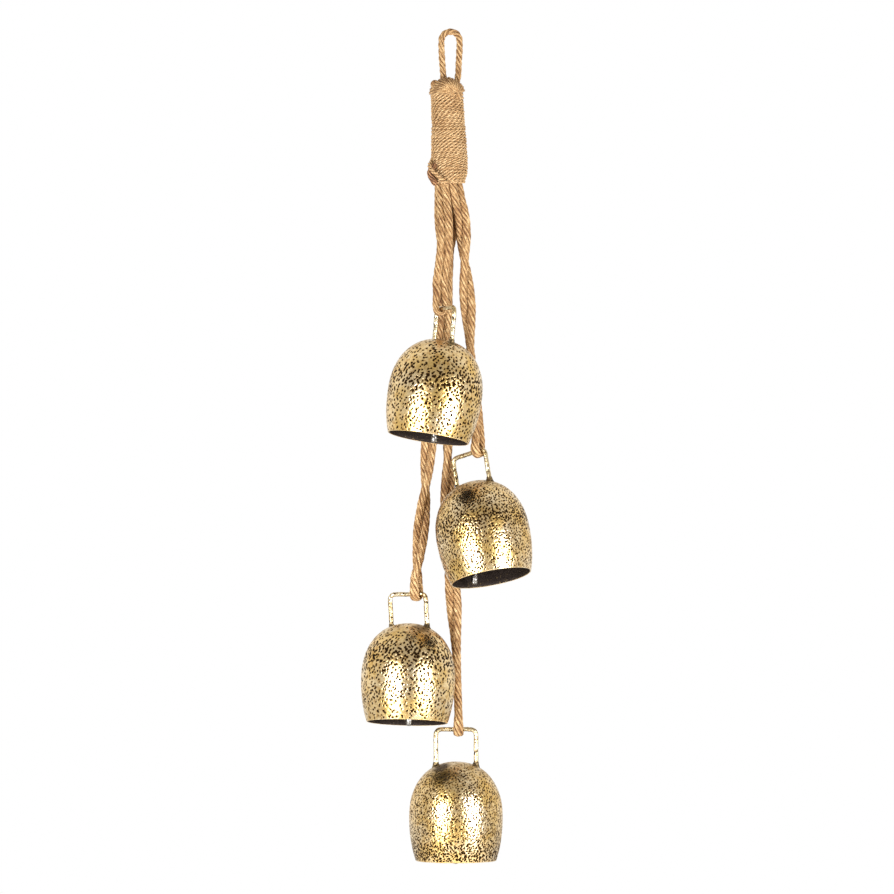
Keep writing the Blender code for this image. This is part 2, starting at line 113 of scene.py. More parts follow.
# lay of ropes and twine: strands, each strand's share of the radius, and the length of one turn
ROPE_LAY = {"strands": 6, "share": 0.44, "pitch": 0.038, "steps": 6}
LOOP_LAY = {"strands": 4, "share": 0.47, "pitch": 0.022, "steps": 7}
TWINE_LAY = {"strands": 2, "share": 0.60, "pitch": 0.0082, "steps": 7}
END_LAY = {"strands": 6, "share": 0.46, "pitch": 0.030, "steps": 5}

# outside of the binding: height, centre x, radius
BINDING_PROFILE = (
    (-0.0500, -0.0030, 0.0140),
    (-0.0512, -0.0030, 0.0146),
    (-0.0600, -0.0028, 0.0146),
    (-0.0780, -0.0020, 0.0149),
    (-0.0792, -0.0019, 0.0143),
    (-0.0804, -0.0019, 0.0152),
    (-0.0860, -0.0017, 0.0155),
    (-0.0872, -0.0016, 0.0149),
    (-0.0884, -0.0016, 0.0157),
    (-0.1020, -0.0011, 0.0160),
    (-0.1130, -0.0009, 0.0163),
    (-0.1190, -0.0010, 0.0162),
    (-0.1202, -0.0011, 0.0154),
    (-0.1214, -0.0012, 0.0160),
    (-0.1300, -0.0019, 0.0149),
    (-0.1316, -0.0021, 0.0139),
)
TWINE = 0.0029
TWINE_TURNS = 33
# blocks of turns: the height where each starts, its tilt and the direction it tilts to, in degrees
TWINE_BLOCKS = (
    (-0.0500, 0.0010, 200.0),
    (-0.0792, -0.0013, 250.0),
    (-0.0872, 0.0012, 230.0),
    (-0.1202, -0.0014, 260.0),
)

# bound rope ends that stand out of the top of the binding, from inside it up to the cut
TOP_ENDS = (
    ((-0.0030, -0.0080, -0.0600), (-0.0052, -0.0094, -0.0505), (-0.0076, -0.0090, -0.0440)),
    ((-0.0105, -0.0050, -0.0600), (-0.0128, -0.0056, -0.0490), (-0.0138, -0.0044, -0.0425)),
    ((0.0004, -0.0086, -0.0600), (0.0010, -0.0096, -0.0500), (0.0006, -0.0088, -0.0425)),
    ((0.0052, -0.0062, -0.0600), (0.0062, -0.0072, -0.0510), (0.0066, -0.0062, -0.0450)),
    ((-0.0108, 0.0040, -0.0600), (-0.0130, 0.0044, -0.0500), (-0.0134, 0.0043, -0.0425)),
    ((-0.0068, 0.0086, -0.0600), (-0.0074, 0.0104, -0.0500), (-0.0070, 0.0100, -0.0425)),
    ((0.0004, 0.0090, -0.0600), (0.0010, 0.0106, -0.0500), (0.0008, 0.0102, -0.0425)),
    ((0.0050, 0.0062, -0.0600), (0.0066, 0.0078, -0.0510), (0.0074, 0.0070, -0.0450)),
)
END_ROPE = 0.0080

# yarns of the front rope ends, teased out from one tuck under the top turn and over the shoulder
FAN_TUCK = Vector((0.0034, -0.0142, -0.0512))
FAN_YARNS = 15
FAN_MIDDLE = Vector((-0.0030, -0.0010, -0.0530))
FAN_REACH = (0.0150, 0.0142, 0.0150)
FAN_FROM = 172.0
FAN_TO = 18.0
FAN_YARN = 0.0035
FAN_LAY = {"strands": 3, "share": 0.56, "pitch": 0.040, "steps": 6}

TAIL_ROPE = 0.0052
TAIL_ROUTE = (
    (-0.0110, -0.0080, -0.1140),
    (-0.0162, -0.0108, -0.1172),
    (-0.0180, -0.0122, -0.1218),
    (-0.0160, -0.0128, -0.1272),
    (-0.0132, -0.0126, -0.1312),
)
HITCH_TWINE = 1.25 * TWINE
HITCH_ROUTE = (
    (-0.0160, 0.0020, -0.1090),
    (-0.0172, -0.0062, -0.1118),
    (-0.0186, -0.0120, -0.1155),
    (-0.0168, -0.0162, -0.1192),
    (-0.0118, -0.0178, -0.1240),
    (-0.0066, -0.0170, -0.1280),
    (-0.0026, -0.0164, -0.1308),
)

# each rope: binding slots of its two ends
ROPE_SLOTS = ((5, 4), (7, 6), (3, 2), (1, 0))
# each rope: route of the middle between its legs, with the direction from the second leg to the
# first in degrees from +X
ROUTES = (
    (
        (-0.0058, -0.0074, -0.1450, -42.0),
        (-0.0048, -0.0114, -0.1650, -20.0),
        (-0.0052, -0.0136, -0.1850, 5.0),
        (-0.0074, -0.0142, -0.2050, 22.0),
        (-0.0094, -0.0142, -0.2200, 25.0),
    ),
    (
        (0.0068, -0.0062, -0.1450, 35.0),
        (0.0102, -0.0064, -0.1620, 5.0),
        (0.0123, -0.0054, -0.1960, -82.0),
        (0.0146, -0.0034, -0.2280, -168.0),
        (0.0169, 0.0010, -0.2640, -255.0),
        (0.0186, 0.0048, -0.3000, -295.0),
        (0.0225, 0.0048, -0.3300, -305.0),
    ),
    (
        (-0.0084, 0.0056, -0.1450, -130.0),
        (-0.0074, 0.0002, -0.1650, -158.0),
        (-0.0050, -0.0050, -0.1850, -178.0),
        (-0.0050, -0.0050, -0.2050, -180.0),
        (-0.0052, -0.0020, -0.2300, -180.0),
        (-0.0056, 0.0030, -0.2550, -182.0),
        (-0.0100, 0.0120, -0.2850, -202.0),
        (-0.0140, 0.0152, -0.3100, -240.0),
        (-0.0172, 0.0153, -0.3350, -300.0),
        (-0.0192, 0.0142, -0.3600, -358.0),
        (-0.0220, 0.0136, -0.3970, -448.0),
        (-0.0264, 0.0135, -0.4400, -556.0),
        (-0.0290, 0.0134, -0.4660, -618.0),
    ),
    (
        (0.0044, 0.0068, -0.1450, 138.0),
        (0.0026, 0.0076, -0.1650, 150.0),
        (-0.0030, 0.0042, -0.1850, 174.0),
        (-0.0046, 0.0028, -0.2050, 180.0),
        (-0.0050, 0.0060, -0.2300, 180.0),
        (-0.0046, 0.0112, -0.2550, 178.0),
        (-0.0036, 0.0205, -0.2850, 165.0),
        (-0.0026, 0.0225, -0.3100, 150.0),
        (-0.0022, 0.0230, -0.3400, 120.0),
        (-0.0024, 0.0255, -0.3720, 88.0),
        (-0.0022, 0.0300, -0.4120, 5.0),
        (-0.0008, 0.0335, -0.4520, -85.0),
        (0.0022, 0.0320, -0.4900, -170.0),
        (0.0048, 0.0290, -0.5350, -255.0),
        (0.0062, 0.0276, -0.5750, -270.0),
    ),
)

# how each bell was hammered: the pits' spacing, half length and half width, the height of the band
# where they are bigger and denser, which is painted dark reflection of the dents near the highlights'
# edges, and the smoky patch near the crown: its direction in degrees, its distance from the axis and
# its size
HAMMER_KEYS = ("cell", "long", "wide", "dark_reflection_band", "patch")
HAMMER_ROWS = (
    (0.0031, 0.00118, 0.00086, 0.046, (-40.0, 0.006, 0.010)),
    (0.0023, 0.00096, 0.00064, 0.048, (-150.0, 0.018, 0.012)),
    (0.0031, 0.00118, 0.00086, 0.056, (-30.0, 0.022, 0.010)),
    (0.0021, 0.00092, 0.00060, 0.005, (-135.0, 0.018, 0.010)),
)
HAMMERING = [dict(zip(HAMMER_KEYS, row)) for row in HAMMER_ROWS]
DARK_REFLECTION_BAND_HALF = 0.020
PIT_SKIP, CROWN_SKIP = 0.20, 0.4
PIT_DEPTH = 0.30 * MM
# dents: depth and size; they fade over the crown, from its height and over its reach
BROAD_DENT, BROAD_SIZE = 0.12 * MM, 0.0090
SMALL_DENT, SMALL_SIZE = 0.060 * MM, 0.0023
INNER_DENT, INNER_SIZE = 0.20 * MM, 0.0085
CROWN_FROM, CROWN_REACH = 0.060, 0.022
PATCH_DROP = 0.004
FOOT_SMOKE = 0.0062


# ---------------------------------------------------------------- lines and sweeps


def spline(knots, rows, places):
    """Natural cubic spline through rows at the knots, read at the given places."""
    count = len(knots)
    gaps = np.diff(knots)
    slopes = np.diff(rows, axis=0) / gaps[:, None]
    system = np.eye(count)
    right = np.zeros_like(rows)
    for k in range(1, count - 1):
        system[k, k - 1 : k + 2] = gaps[k - 1], 2 * (gaps[k - 1] + gaps[k]), gaps[k]
        right[k] = 6 * (slopes[k] - slopes[k - 1])
    bends = np.linalg.solve(system, right)
    k = np.clip(np.searchsorted(knots, places) - 1, 0, count - 2)
    gap = gaps[k][:, None]
    a = (knots[k + 1] - places)[:, None] / gap
    b = 1 - a
    curved = (a**3 - a) * bends[k] + (b**3 - b) * bends[k + 1]
    return a * rows[k] + b * rows[k + 1] + curved * gap * gap / 6


def smooth_line(rows, step):
    """Evenly spaced rows (x, y, z and any more columns) along a smooth line through these."""
    rows = np.array(rows, float)
    knots = travelled(rows)
    count = max(int(round(knots[-1] / step)), 4)
    close = spline(knots, rows, np.linspace(0, knots[-1], count * 4 + 1))
    along = travelled(close)
    even = np.linspace(0, along[-1], count + 1)
    return np.array([np.interp(even, along, column) for column in close.T]).T


def distances(rows):
    """Distance from each row's point to the next."""
    return np.linalg.norm(np.diff(rows[:, :3], axis=0), axis=1)


def travelled(rows):
    """Distance along the line at each of its rows."""
    return np.concatenate(([0.0], np.cumsum(distances(rows))))


def carried_frames(points):
    """Tangent and two cross directions at each point, turning no more than the line itself does."""
    tangents = np.gradient(points, axis=0)
    tangents /= np.linalg.norm(tangents, axis=1)[:, None]
    seed = np.array((0.0, 1.0, 0.0)) if abs(tangents[0][1]) < 0.8 else np.array((1.0, 0.0, 0.0))
    first = np.empty_like(tangents)
    for k, tangent in enumerate(tangents):
        seed = seed - tangent * seed.dot(tangent)
        seed /= np.linalg.norm(seed)
        first[k] = seed
    return tangents, first, np.cross(tangents, first)


def wave(values, seed):
    """Smooth noise from -1 to 1 along a list of numbers."""
    return np.array([noise.noise((value, seed * 7.31, 0.5)) for value in values])


def field(points, size, seed):
    """Smooth noise from -1 to 1 at points, with features about as large as size."""
    flat = (points.reshape(-1, 3) / size + seed * 17.3).tolist()
    return np.array([noise.noise(p) for p in flat]).reshape(points.shape[:-1])


def fade(values):
    """Smooth step from 0 to 1."""
    values = np.clip(values, 0.0, 1.0)
    return values * values * (3 - 2 * values)


def grid_faces(rings, sides, first=0):
    """Quads between neighbouring closed rings."""
    r = np.arange(rings - 1)[:, None] * sides + first
    k = np.arange(sides)
    after = (k + 1) % sides
    faces = np.stack((r + k, r + after, r + sides + after, r + sides + k), axis=-1)
    return faces.reshape(-1, 4)


def fan(first, sides, tip, flip=False):
    """Triangles that close the ring of corners starting at first, onto the corner tip."""
    k = np.arange(sides)
    a, b = first + k, first + (k + 1) % sides
    if flip:
        a, b = b, a
    return np.stack((a, b, np.full(sides, tip)), axis=-1)


def tube(rings, tips):
    """Corners and faces of a tube through the rings, closed at its two tips."""
    count, sides = len(rings), len(rings[0])
    verts = np.concatenate([np.array(rings).reshape(-1, 3), tips])
    size = count * sides
    ends = fan(0, sides, size), fan(size - sides, sides, size + 1, True)
    return verts, (grid_faces(count, sides)[:, ::-1], *ends)


class Soup:
    """Corners, faces and per-corner values of one piece, gathered before it becomes a mesh."""

    def __init__(self):
        self.verts, self.faces, self.count = [], [], 0
        self.values = {}
        self.slots = []

    def add(self, verts, faces, slots=None, **values):
        """Corners, groups of faces with a material slot each, and per-corner values by name."""
        verts = np.asarray(verts, float).reshape(-1, 3)
        self.verts.append(verts)
        for group, slot in zip(faces, slots or [0] * len(faces)):
            self.faces += (np.asarray(group) + self.count).tolist()
            self.slots += [slot] * len(group)
        for name, value in values.items():
            value = np.asarray(value, float)
            shape = (len(verts), 3) if name == "lay" else (len(verts),)
            value = np.broadcast_to(value, shape) if value.ndim == 0 else value.reshape(shape)
            self.values.setdefault(name, []).append(value)
        self.count += len(verts)

    def piece(self, name, materials):
        """The finished mesh object."""
        mesh = bpy.data.meshes.new(name)
        mesh.from_pydata(np.concatenate(self.verts).tolist(), [], self.faces)
        for key, parts in self.values.items():
            kind = "FLOAT_VECTOR" if key == "lay" else "FLOAT"
            attribute = mesh.attributes.new(key, kind, "POINT")
            data = np.concatenate(parts).astype(np.float32)
            attribute.data.foreach_set("vector" if key == "lay" else "value", data.ravel())
        mesh.polygons.foreach_set("use_smooth", [True] * len(mesh.polygons))
        mesh.polygons.foreach_set("material_index", self.slots)
        for material in materials:
            mesh.materials.append(material)
        obj = bpy.data.objects.new(name, mesh)
        bpy.context.scene.collection.objects.link(obj)
        return obj


# unevenness of a laid rope: how far its lay drifts in radians, and how much its strands swell and
# its yarns stand out, as shares of the radius, over what length
LAY_DRIFT = 0.30
STRAND_SWELL, SWELL_LENGTH = 0.07, 0.013
YARN_RELIEF, RELIEF_LENGTH = 0.05, 0.0042
LAY_LENGTH = 0.02
CUT_END = ((0.86, 0.45), (0.50, 0.85))


def laid_outline(lay):
    """Angle, radius and crease value of each corner round a rope of radius 1."""
    strands, share, steps = lay["strands"], lay["share"], lay["steps"]
    half = math.pi / strands
    centre = 1 - share
    angles, radii = [], []
    for strand in range(strands):
        for k in range(steps):
            off = -half + 2 * half * k / steps
            reach = centre * math.cos(off) + math.sqrt(share**2 - (centre * math.sin(off)) ** 2)
            angles.append(2 * half * strand + off)
            radii.append(reach)
    radii = np.array(radii)
    low = radii.min()
    return np.array(angles), radii, (radii - low) / (1 - low)


def add_laid(soup, line, lay, seed, squeeze=None, round_end=0.5):
    """A laid rope along the line, whose fourth column is its radius."""
    points, radii = line[:, :3], line[:, 3]
    tangents, first, second = carried_frames(points)
    along = travelled(line)
    angles, reach, raised = laid_outline(lay)
    turn = -2 * math.pi * along / lay["pitch"]
    turn += LAY_DRIFT * wave(along / (1.1 * lay["pitch"]), seed)
    sides = len(angles)
    strand = np.arange(sides) // lay["steps"]
    uneven = np.ones((len(points), sides))
    for k in range(lay["strands"]):
        swell = 1 + STRAND_SWELL * wave(along / SWELL_LENGTH, seed + 3.7 * k + 1)
        uneven[:, strand == k] = swell[:, None]
    for k in range(sides):
        uneven[:, k] += YARN_RELIEF * wave(along / RELIEF_LENGTH, seed + 1.9 * k + 0.4)
    around = turn[:, None] + angles[None, :]
    size = radii[:, None] * reach[None, :] * uneven
    offset = (size * np.cos(around))[..., None] * first[:, None, :]
    offset += (size * np.sin(around))[..., None] * second[:, None, :]
    if squeeze is not None:
        offset = squeeze(offset, tangents, along)
    ends, tips = [], []
    for at, reach_out in ((0, -0.5), (-1, round_end)):
        push = reach_out * radii[at] * tangents[at]
        ends.append([points[at] + wide * offset[at] + out * push for wide, out in CUT_END])
        tips.append(points[at] + push)
    rings = ends[0][::-1] + list(points[:, None, :] + offset) + ends[1]
    verts, faces = tube(rings, tips)
    far = np.concatenate(([0, 0], along, [along[-1]] * 2))
    lay_rows = np.empty((len(rings), sides, 3))
    lay_rows[..., 0] = np.cos(angles)[None, :]
    lay_rows[..., 1] = np.sin(angles)[None, :]
    lay_rows[..., 2] = (far / LAY_LENGTH + seed)[:, None]
    lay_values = np.concatenate((lay_rows.reshape(-1, 3), [[0, 0, seed]] * 2))
    crease = np.concatenate((np.tile(raised, len(rings)), [0.5, 0.5]))
    soup.add(verts, faces, lay=lay_values, raised=crease)
    return points, offset, tangents


# loose fibres: how many on each metre, their length and thickness, and how far they may stand off
ROPE_HAIRS = (700, 0.0034, 0.000050)
LOOP_HAIRS = (800, 0.0030, 0.000050)
WINDING_HAIRS = (260, 0.0030, 0.000045, 0.8)
END_HAIRS = (6000, 0.0032, 0.000055, 0.8)
FAN_HAIRS = (1200, 0.0030, 0.000050, 0.7)
TAIL_HAIRS = (3000, 0.0024, 0.000050)
HITCH_HAIRS = (900, 0.0026, 0.000045)


def add_hairs(soup, laid, rng, per_metre, length, thickness, spread=0.5):
    """Loose fibres that stand off a laid rope's surface, as thin tapered threads."""
    points, offset, tangents = laid
    count = int(per_metre * distances(points).sum())
    ring = rng.integers(0, len(points), count)
    side = rng.integers(0, offset.shape[1], count)
    out = offset[ring, side]
    root = points[ring] + 0.93 * out
    out = out / np.linalg.norm(out, axis=1)[:, None]
    way = tangents[ring] * rng.choice((-1.0, 1.0), count)[:, None]
    side_way = np.cross(out, way)
    lift = rng.uniform(0.15, spread, count)[:, None]
    aside = rng.normal(0.0, 0.35, count)[:, None]
    heading = way + lift * out + aside * side_way
    heading /= np.linalg.norm(heading, axis=1)[:, None]
    curl = rng.normal(0.0, 0.35, count)[:, None] * side_way - 0.25 * out
    long = rng.uniform(0.4, 1.0, count)[:, None] * length
    thin = rng.uniform(0.7, 1.2, count)[:, None] * thickness
    across = np.cross(heading, out)
    across /= np.linalg.norm(across, axis=1)[:, None]
    up = np.cross(across, heading)
    verts = np.empty((count, 4, 3, 3))
    for k, (share, width) in enumerate(((0.0, 1.0), (0.35, 1.0), (0.7, 0.8), (1.0, 0.25))):
        middle = root + long * share * heading + long * share**2 * 0.5 * curl
        for corner in range(3):
            angle = 2 * math.pi * corner / 3
            ring_offset = math.cos(angle) * across + math.sin(angle) * up
            verts[:, k, corner] = middle + thin * width * ring_offset
    base = np.arange(count)[:, None] * 12
    quads = []
    for k in range(3):
        for corner in range(3):
            a, b = 3 * k + corner, 3 * k + (corner + 1) % 3
            quads.append(np.concatenate((base + a, base + b, base + b + 3, base + a + 3), axis=1))
    ends = [
        np.concatenate((base + 2, base + 1, base), axis=1),
        np.concatenate((base + 9, base + 10, base + 11), axis=1),
    ]
    lay = np.repeat(rng.uniform(-1, 1, (count, 3)), 12, axis=0)
    soup.add(verts, [np.concatenate(quads)] + ends, lay=lay, raised=1.0)


# ---------------------------------------------------------------- materials


class Net:
    """Short ways to add nodes to a node tree."""

    def __init__(self, tree):
        self.tree = tree

    def node(self, kind, inputs=(), **settings):
        """A node with its settings and its inputs, each a value or another node's output."""
        made = self.tree.nodes.new("ShaderNode" + kind)
        for key, value in settings.items():
            setattr(made, key, value)
        for key, value in dict(inputs).items():
            self.put(made.inputs[key], value)
        return made

    def put(self, socket, value):
        """Join an output to the socket, or set the socket's value."""
        if isinstance(value, bpy.types.NodeSocket):
            self.tree.links.new(value, socket)
        else:
            socket.default_value = value


class Shader(Net):
    """A Principled material and short ways to add nodes to it."""

    def __init__(self, name, **constants):
        self.material = bpy.data.materials.new(name)
        self.material.use_nodes = True
        super().__init__(self.material.node_tree)
        self.bsdf = self.tree.nodes["Principled BSDF"]
        self.made(**constants)

    def value(self, name, output="Fac"):
        """A per-corner value of the mesh."""
        return self.node("Attribute", attribute_name=name).outputs[output]

    def scaled(self, vector, scale):
        """A vector with its three parts scaled."""
        return self.node("Mapping", {"Vector": vector, "Scale": scale}).outputs[0]

    def place(self):
        """The object's own coordinates."""
        return self.scaled(self.node("TexCoord").outputs["Object"], (1.0, 1.0, 1.0))

    def noise(self, vector, scale, detail=3.0, rough=0.55, distortion=0.0):
        """Noise from 0 to 1."""
        names = ("Vector", "Scale", "Detail", "Roughness", "Distortion")
        inputs = dict(zip(names, (vector, scale, detail, rough, distortion)))
        return self.node("TexNoise", inputs).outputs[0]

    def cells(self, vector, scale):
        """Smooth distance to the nearest cell's centre."""
        inputs = {"Vector": vector, "Scale": scale}
        return self.node("TexVoronoi", inputs, feature="SMOOTH_F1").outputs["Distance"]

    def span(self, value, low, high, to_low=0.0, to_high=1.0):
        """Value from low to high, brought to another range."""
        inputs = {0: value, 1: low, 2: high, 3: to_low, 4: to_high}
        return self.node("MapRange", inputs).outputs[0]

    def mix(self, share, a, b):
        """Two colours mixed."""
        return self.node("Mix", {0: share, 6: a, 7: b}, data_type="RGBA").outputs[2]

    def plus(self, first, *others):
        """Sum of numbers."""
        for other in others:
            first = self.node("Math", {0: first, 1: other}, operation="ADD").outputs[0]
        return first

    def times(self, a, b):
        """Product of two numbers."""
        return self.node("Math", {0: a, 1: b}, operation="MULTIPLY").outputs[0]

    def bump(self, height, distance, strength=1.0, normal=None):
        """Bump from a height from 0 to 1, as deep as distance."""
        inputs = {"Height": height, "Distance": distance, "Strength": strength}
        if normal is not None:
            inputs["Normal"] = normal
        return self.node("Bump", inputs).outputs[0]

    def made(self, **sockets):
        """The finished material, with these outputs joined to the shader."""
        for key, value in sockets.items():
            self.put(self.bsdf.inputs[key.replace("_", " ")], value)
        return self.material


def jute(name, dark, middle, light, fibre=1.0, gap=0.85):
    """Jute: fine fibres along the strands in brown, tan and straw tones; the strands are painted a
    little lighter on their crowns and darker towards the creases, and gap sets the painted shade in
    the brown gaps between them.
    """
    s = Shader(name, Roughness=0.92)
    lay = s.value("lay", "Vector")
    fine = s.noise(s.scaled(lay, (8.0, 8.0, 6.0)), fibre, 4.0, 0.66, 0.4)
    coarse = s.noise(s.scaled(lay, (2.6, 2.6, 3.6)), fibre, 3.0, 0.6, 0.3)
    tone = s.noise(s.place(), 60.0)
    raised = s.value("raised")
    shade = s.plus(
        s.times(fine, 0.40),
        s.times(coarse, 0.60),
        s.span(tone, 0.3, 0.7, -0.03, 0.03),
        # painted shade and highlight: a little darker towards the creases, a little lighter on the
        # strands' crowns
        s.span(raised, 0.0, 1.0, -0.06, 0.03),
    )
    body = s.mix(s.span(shade, 0.38, 0.49), dark, middle)
    body = s.mix(s.span(shade, 0.51, 0.61), body, light)
    # painted shade in the creases between strands, broken up by the coarse noise; gap sets how dark
    # it is
    depth = s.plus(raised, s.span(coarse, 0.35, 0.65, -0.22, 0.22))
    shadow = s.span(depth, 0.0, 0.62, gap, 0.0)
    return s.made(
        Base_Color=s.mix(shadow, body, darker(dark, (0.42, 0.42, 0.42))),
        Normal=s.bump(shade, 0.0008),
    )


def darker(colour, shares):
    """A colour with each of its parts scaled."""
    return tuple(share * part for share, part in zip(shares, colour)) + (1.0,)


def hammered_gold(name, gold, brown, patch, mottle_scale, rough=0.19):
    """Antique gold sheet: bright rubbed metal, brown patina, near-black pits, which are dark stain in
    the hammer marks and, in the band where they are bigger and denser, painted dark reflection.
    """
    s = Shader(name, Metallic=1.0)
    here = s.place()
    cloud = s.noise(here, 48.0, 4.0, 0.6)
    grain = s.noise(here, 620.0, 3.0, 0.6)
    ragged = s.plus(s.value("pit"), s.times(s.plus(grain, -0.5), 0.6))
    black = s.span(ragged, 0.20, 0.40)
    stain = s.span(ragged, 0.0, 0.22, 0.0, 0.60)
    dull = s.span(s.noise(here, mottle_scale, 2.0, 0.5, 0.6), 0.50, 0.64, 0.0, 0.62)
    smoky = s.span(s.times(s.value("smoke"), s.plus(cloud, 0.5)), 0.15, 0.75)
    deep = darker(brown, (0.54, 0.41, 0.26))
    body = s.mix(s.span(cloud, 0.34, 0.62), gold, brown)
    body = s.mix(stain, s.mix(dull, body, deep), deep)
    body = s.mix(smoky, body, patch)
    roughness = s.plus(
        s.span(cloud, 0.3, 0.7, rough, rough + 0.08),
        s.times(black, 0.40),
        s.times(dull, 0.10),
        s.times(smoky, 0.25),
    )
    dents = s.bump(s.cells(here, 440.0), 0.00025, 0.40)
    return s.made(
        Base_Color=s.mix(black, body, (0.022, 0.010, 0.003, 1.0)),
        Roughness=roughness,
        Normal=s.bump(grain, 0.00015, 0.5, dents),
    )


def bell_inside():
    """Near-black inside with a few rubbed specks."""
    s = Shader("bell_inside")
    here = s.place()
    specks = s.noise(here, 420.0, 3.0, 0.6)
    rubbed = s.span(specks, 0.63, 0.72)
    body = s.mix(s.noise(here, 60.0), (0.020, 0.012, 0.008, 1.0), (0.060, 0.036, 0.020, 1.0))
    return s.made(
        Base_Color=s.mix(rubbed, body, (0.42, 0.28, 0.12, 1.0)),
        Metallic=s.span(rubbed, 0.0, 1.0, 0.5, 1.0),
        Roughness=s.span(rubbed, 0.0, 1.0, 0.62, 0.35),
        Normal=s.bump(specks, 0.0004, 0.7),
    )


def plain_metal(name, light, dark, rough, scale):
    """Metal with worn and dark places."""
    s = Shader(name, Metallic=1.0)
    cloud = s.noise(s.place(), scale, 4.0, 0.6)
    return s.made(
        Base_Color=s.mix(s.span(cloud, 0.38, 0.62), light, dark),
        Roughness=s.span(cloud, 0.3, 0.7, rough, rough + 0.18),
        Normal=s.bump(cloud, 0.0004, 0.5),
    )


def floor_material():
    """Plain pale floor."""
    s = Shader("pale_floor", Roughness=0.9)
    tone = s.noise(s.place(), 3.0)
    return s.made(Base_Color=s.mix(tone, (0.86, 0.86, 0.85, 1), (0.90, 0.90, 0.89, 1)))


# jute: dark brown, body and straw tones; the dark one, darker still, is also the painted shade in the
# gaps between strands
ROPE_JUTE = jute(
    "rope_jute", (0.180, 0.068, 0.016, 1), (0.385, 0.198, 0.064, 1), (0.70, 0.455, 0.198, 1)
)
TWINE_JUTE = jute(
    "twine_jute", (0.24, 0.10, 0.026, 1), (0.52, 0.285, 0.10, 1), (0.88, 0.60, 0.29, 1), 1.2, 0.88
)
CUT_JUTE = jute(
    "cut_jute", (0.070, 0.025, 0.007, 1), (0.21, 0.085, 0.026, 1), (0.45, 0.22, 0.08, 1)
)

# gold: rubbed metal, patina, smoky patch and the size of the dull mottle; bells 1 and 3 are coarser
COARSE_GOLD = hammered_gold(
    "gold_sheet_coarse", (1.0, 0.81, 0.50, 1), (0.87, 0.58, 0.195, 1), (0.30, 0.19, 0.075, 1), 330
)
FINE_GOLD = hammered_gold(
    "gold_sheet_fine", (1.0, 0.80, 0.49, 1), (0.86, 0.57, 0.19, 1), (0.13, 0.082, 0.038, 1), 430
)
WIRE_GOLD = hammered_gold(
    "gold_wire", (0.93, 0.80, 0.52, 1), (0.66, 0.50, 0.25, 1), (0.10, 0.07, 0.04, 1), 500, 0.24
)
SHEETS = (COARSE_GOLD, FINE_GOLD, COARSE_GOLD, FINE_GOLD)
INSIDE = bell_inside()

# other metal: worn and dark colour, roughness, and the size of the mottle
SCORCHED = plain_metal("scorched_braze", (0.34, 0.23, 0.1, 1), (0.035, 0.022, 0.012, 1), 0.4, 480)
BLACK_IRON = plain_metal("black_iron", (0.10, 0.08, 0.06, 1), (0.03, 0.025, 0.02, 1), 0.45, 500)
ROD_STEEL = plain_metal("rod_steel", (0.42, 0.38, 0.31, 1), (0.05, 0.035, 0.02, 1), 0.25, 620)


# ---------------------------------------------------------------- bells


def node_points(name):
    """Different corners of a CAD node."""
    points = np.array([v.co for v in frame["nodes"][name].data.vertices], float)
    return np.unique(points.round(7), axis=0)


def main_axes(points):
    """Middle and three main directions of a cloud of points, least spread first."""
    middle = points.mean(axis=0)
    spread, axes = np.linalg.eigh(np.cov((points - middle).T))
    return middle, spread, axes.T


def upward(vector):
    """The vector or its opposite, whichever points up."""
    return vector if vector.z >= 0 else -vector


def moved(matrix, points):
    """Points taken through a matrix."""
    matrix = np.array(matrix)
    return np.asarray(points) @ matrix[:3, :3].T + matrix[:3, 3]


class Bell:
    """Place of one bell from the CAD; its frame has the mouth's centre at 0, the bail along x."""

    def __init__(self, number):
        self.number = number
        self.body = "bell_%d" % number
        joint = JOINTS["bell_%d_swing" % number]
        self.hook = Vector(joint["pos_m"])
        bar = Vector(joint["axis"]).normalized()
        self.bar = bar if bar.x > 0 else -bar
        points = node_points("bell_%d_shell" % number)
        middle, spread, axes = main_axes(points)
        odd = 0 if spread[1] - spread[0] > spread[2] - spread[1] else 2
        spin = upward(Vector(axes[odd]))
        lowest = ((points - middle) @ np.array(spin)).min()
        mouth = Vector(middle) + spin * lowest
        across = spin.cross(self.bar).normalized()
        bar_way = across.cross(spin)
        turn = Matrix((bar_way, across, spin)).transposed().to_4x4()
        self.frame = Matrix.Translation(mouth) @ turn
        seat = self.frame.inverted() @ self.hook
        self.height = seat.z
        bail = self.local(node_points("bell_%d_bail" % number))
        top = bail[bail[:, 2] > self.height - BAIL_WIRE / 4]
        self.lean = ((top[:, 0].min() + top[:, 0].max()) / 2, seat.y)

    def local(self, points):
        """Points in the bell's own frame."""
        return moved(self.frame.inverted(), points)

    def world(self, points):
        """Points of the bell's own frame in the row frame."""
        return moved(self.frame, points)

    def across(self):
        """Level direction square to the bail's bar."""
        return self.bar.cross(UP).normalized() * -1.0


def shell_profile(belly, mouth, crest):
    """Radius and height from the mouth to the crown, closely spaced."""
    rows = []
    for z in np.linspace(0.0, BELLY_HEIGHT, 400, endpoint=False):
        drop = (BELLY_HEIGHT - z) / BELLY_HEIGHT
        rows.append((belly - (belly - mouth) * drop**CURVE_POWER, z))
    for turn in np.linspace(0.0, 0.5 * math.pi, 1200):
        radius = belly * max(math.cos(turn), 0.0) ** (2 / CURVE_POWER)
        rise = (crest - BELLY_HEIGHT) * math.sin(turn) ** (2 / CURVE_POWER)
        rows.append((radius, BELLY_HEIGHT + rise))
    return np.array(rows)


def even_rows(profile, count):
    """Profile rows evenly spaced along it, with their outward normals and the spacing."""
    steps = np.linalg.norm(np.diff(profile, axis=0), axis=1)
    along = np.concatenate(([0.0], np.cumsum(steps)))
    even = np.linspace(0.0, along[-1], count + 1)
    rows = np.stack([np.interp(even, along, column) for column in profile.T], axis=1)
    slope = np.gradient(rows, axis=0)
    normals = np.stack((slope[:, 1], -slope[:, 0]), axis=1)
    normals /= np.linalg.norm(normals, axis=1)[:, None]
    normals[-1] = (0.0, 1.0)
    return rows, normals, even[1]


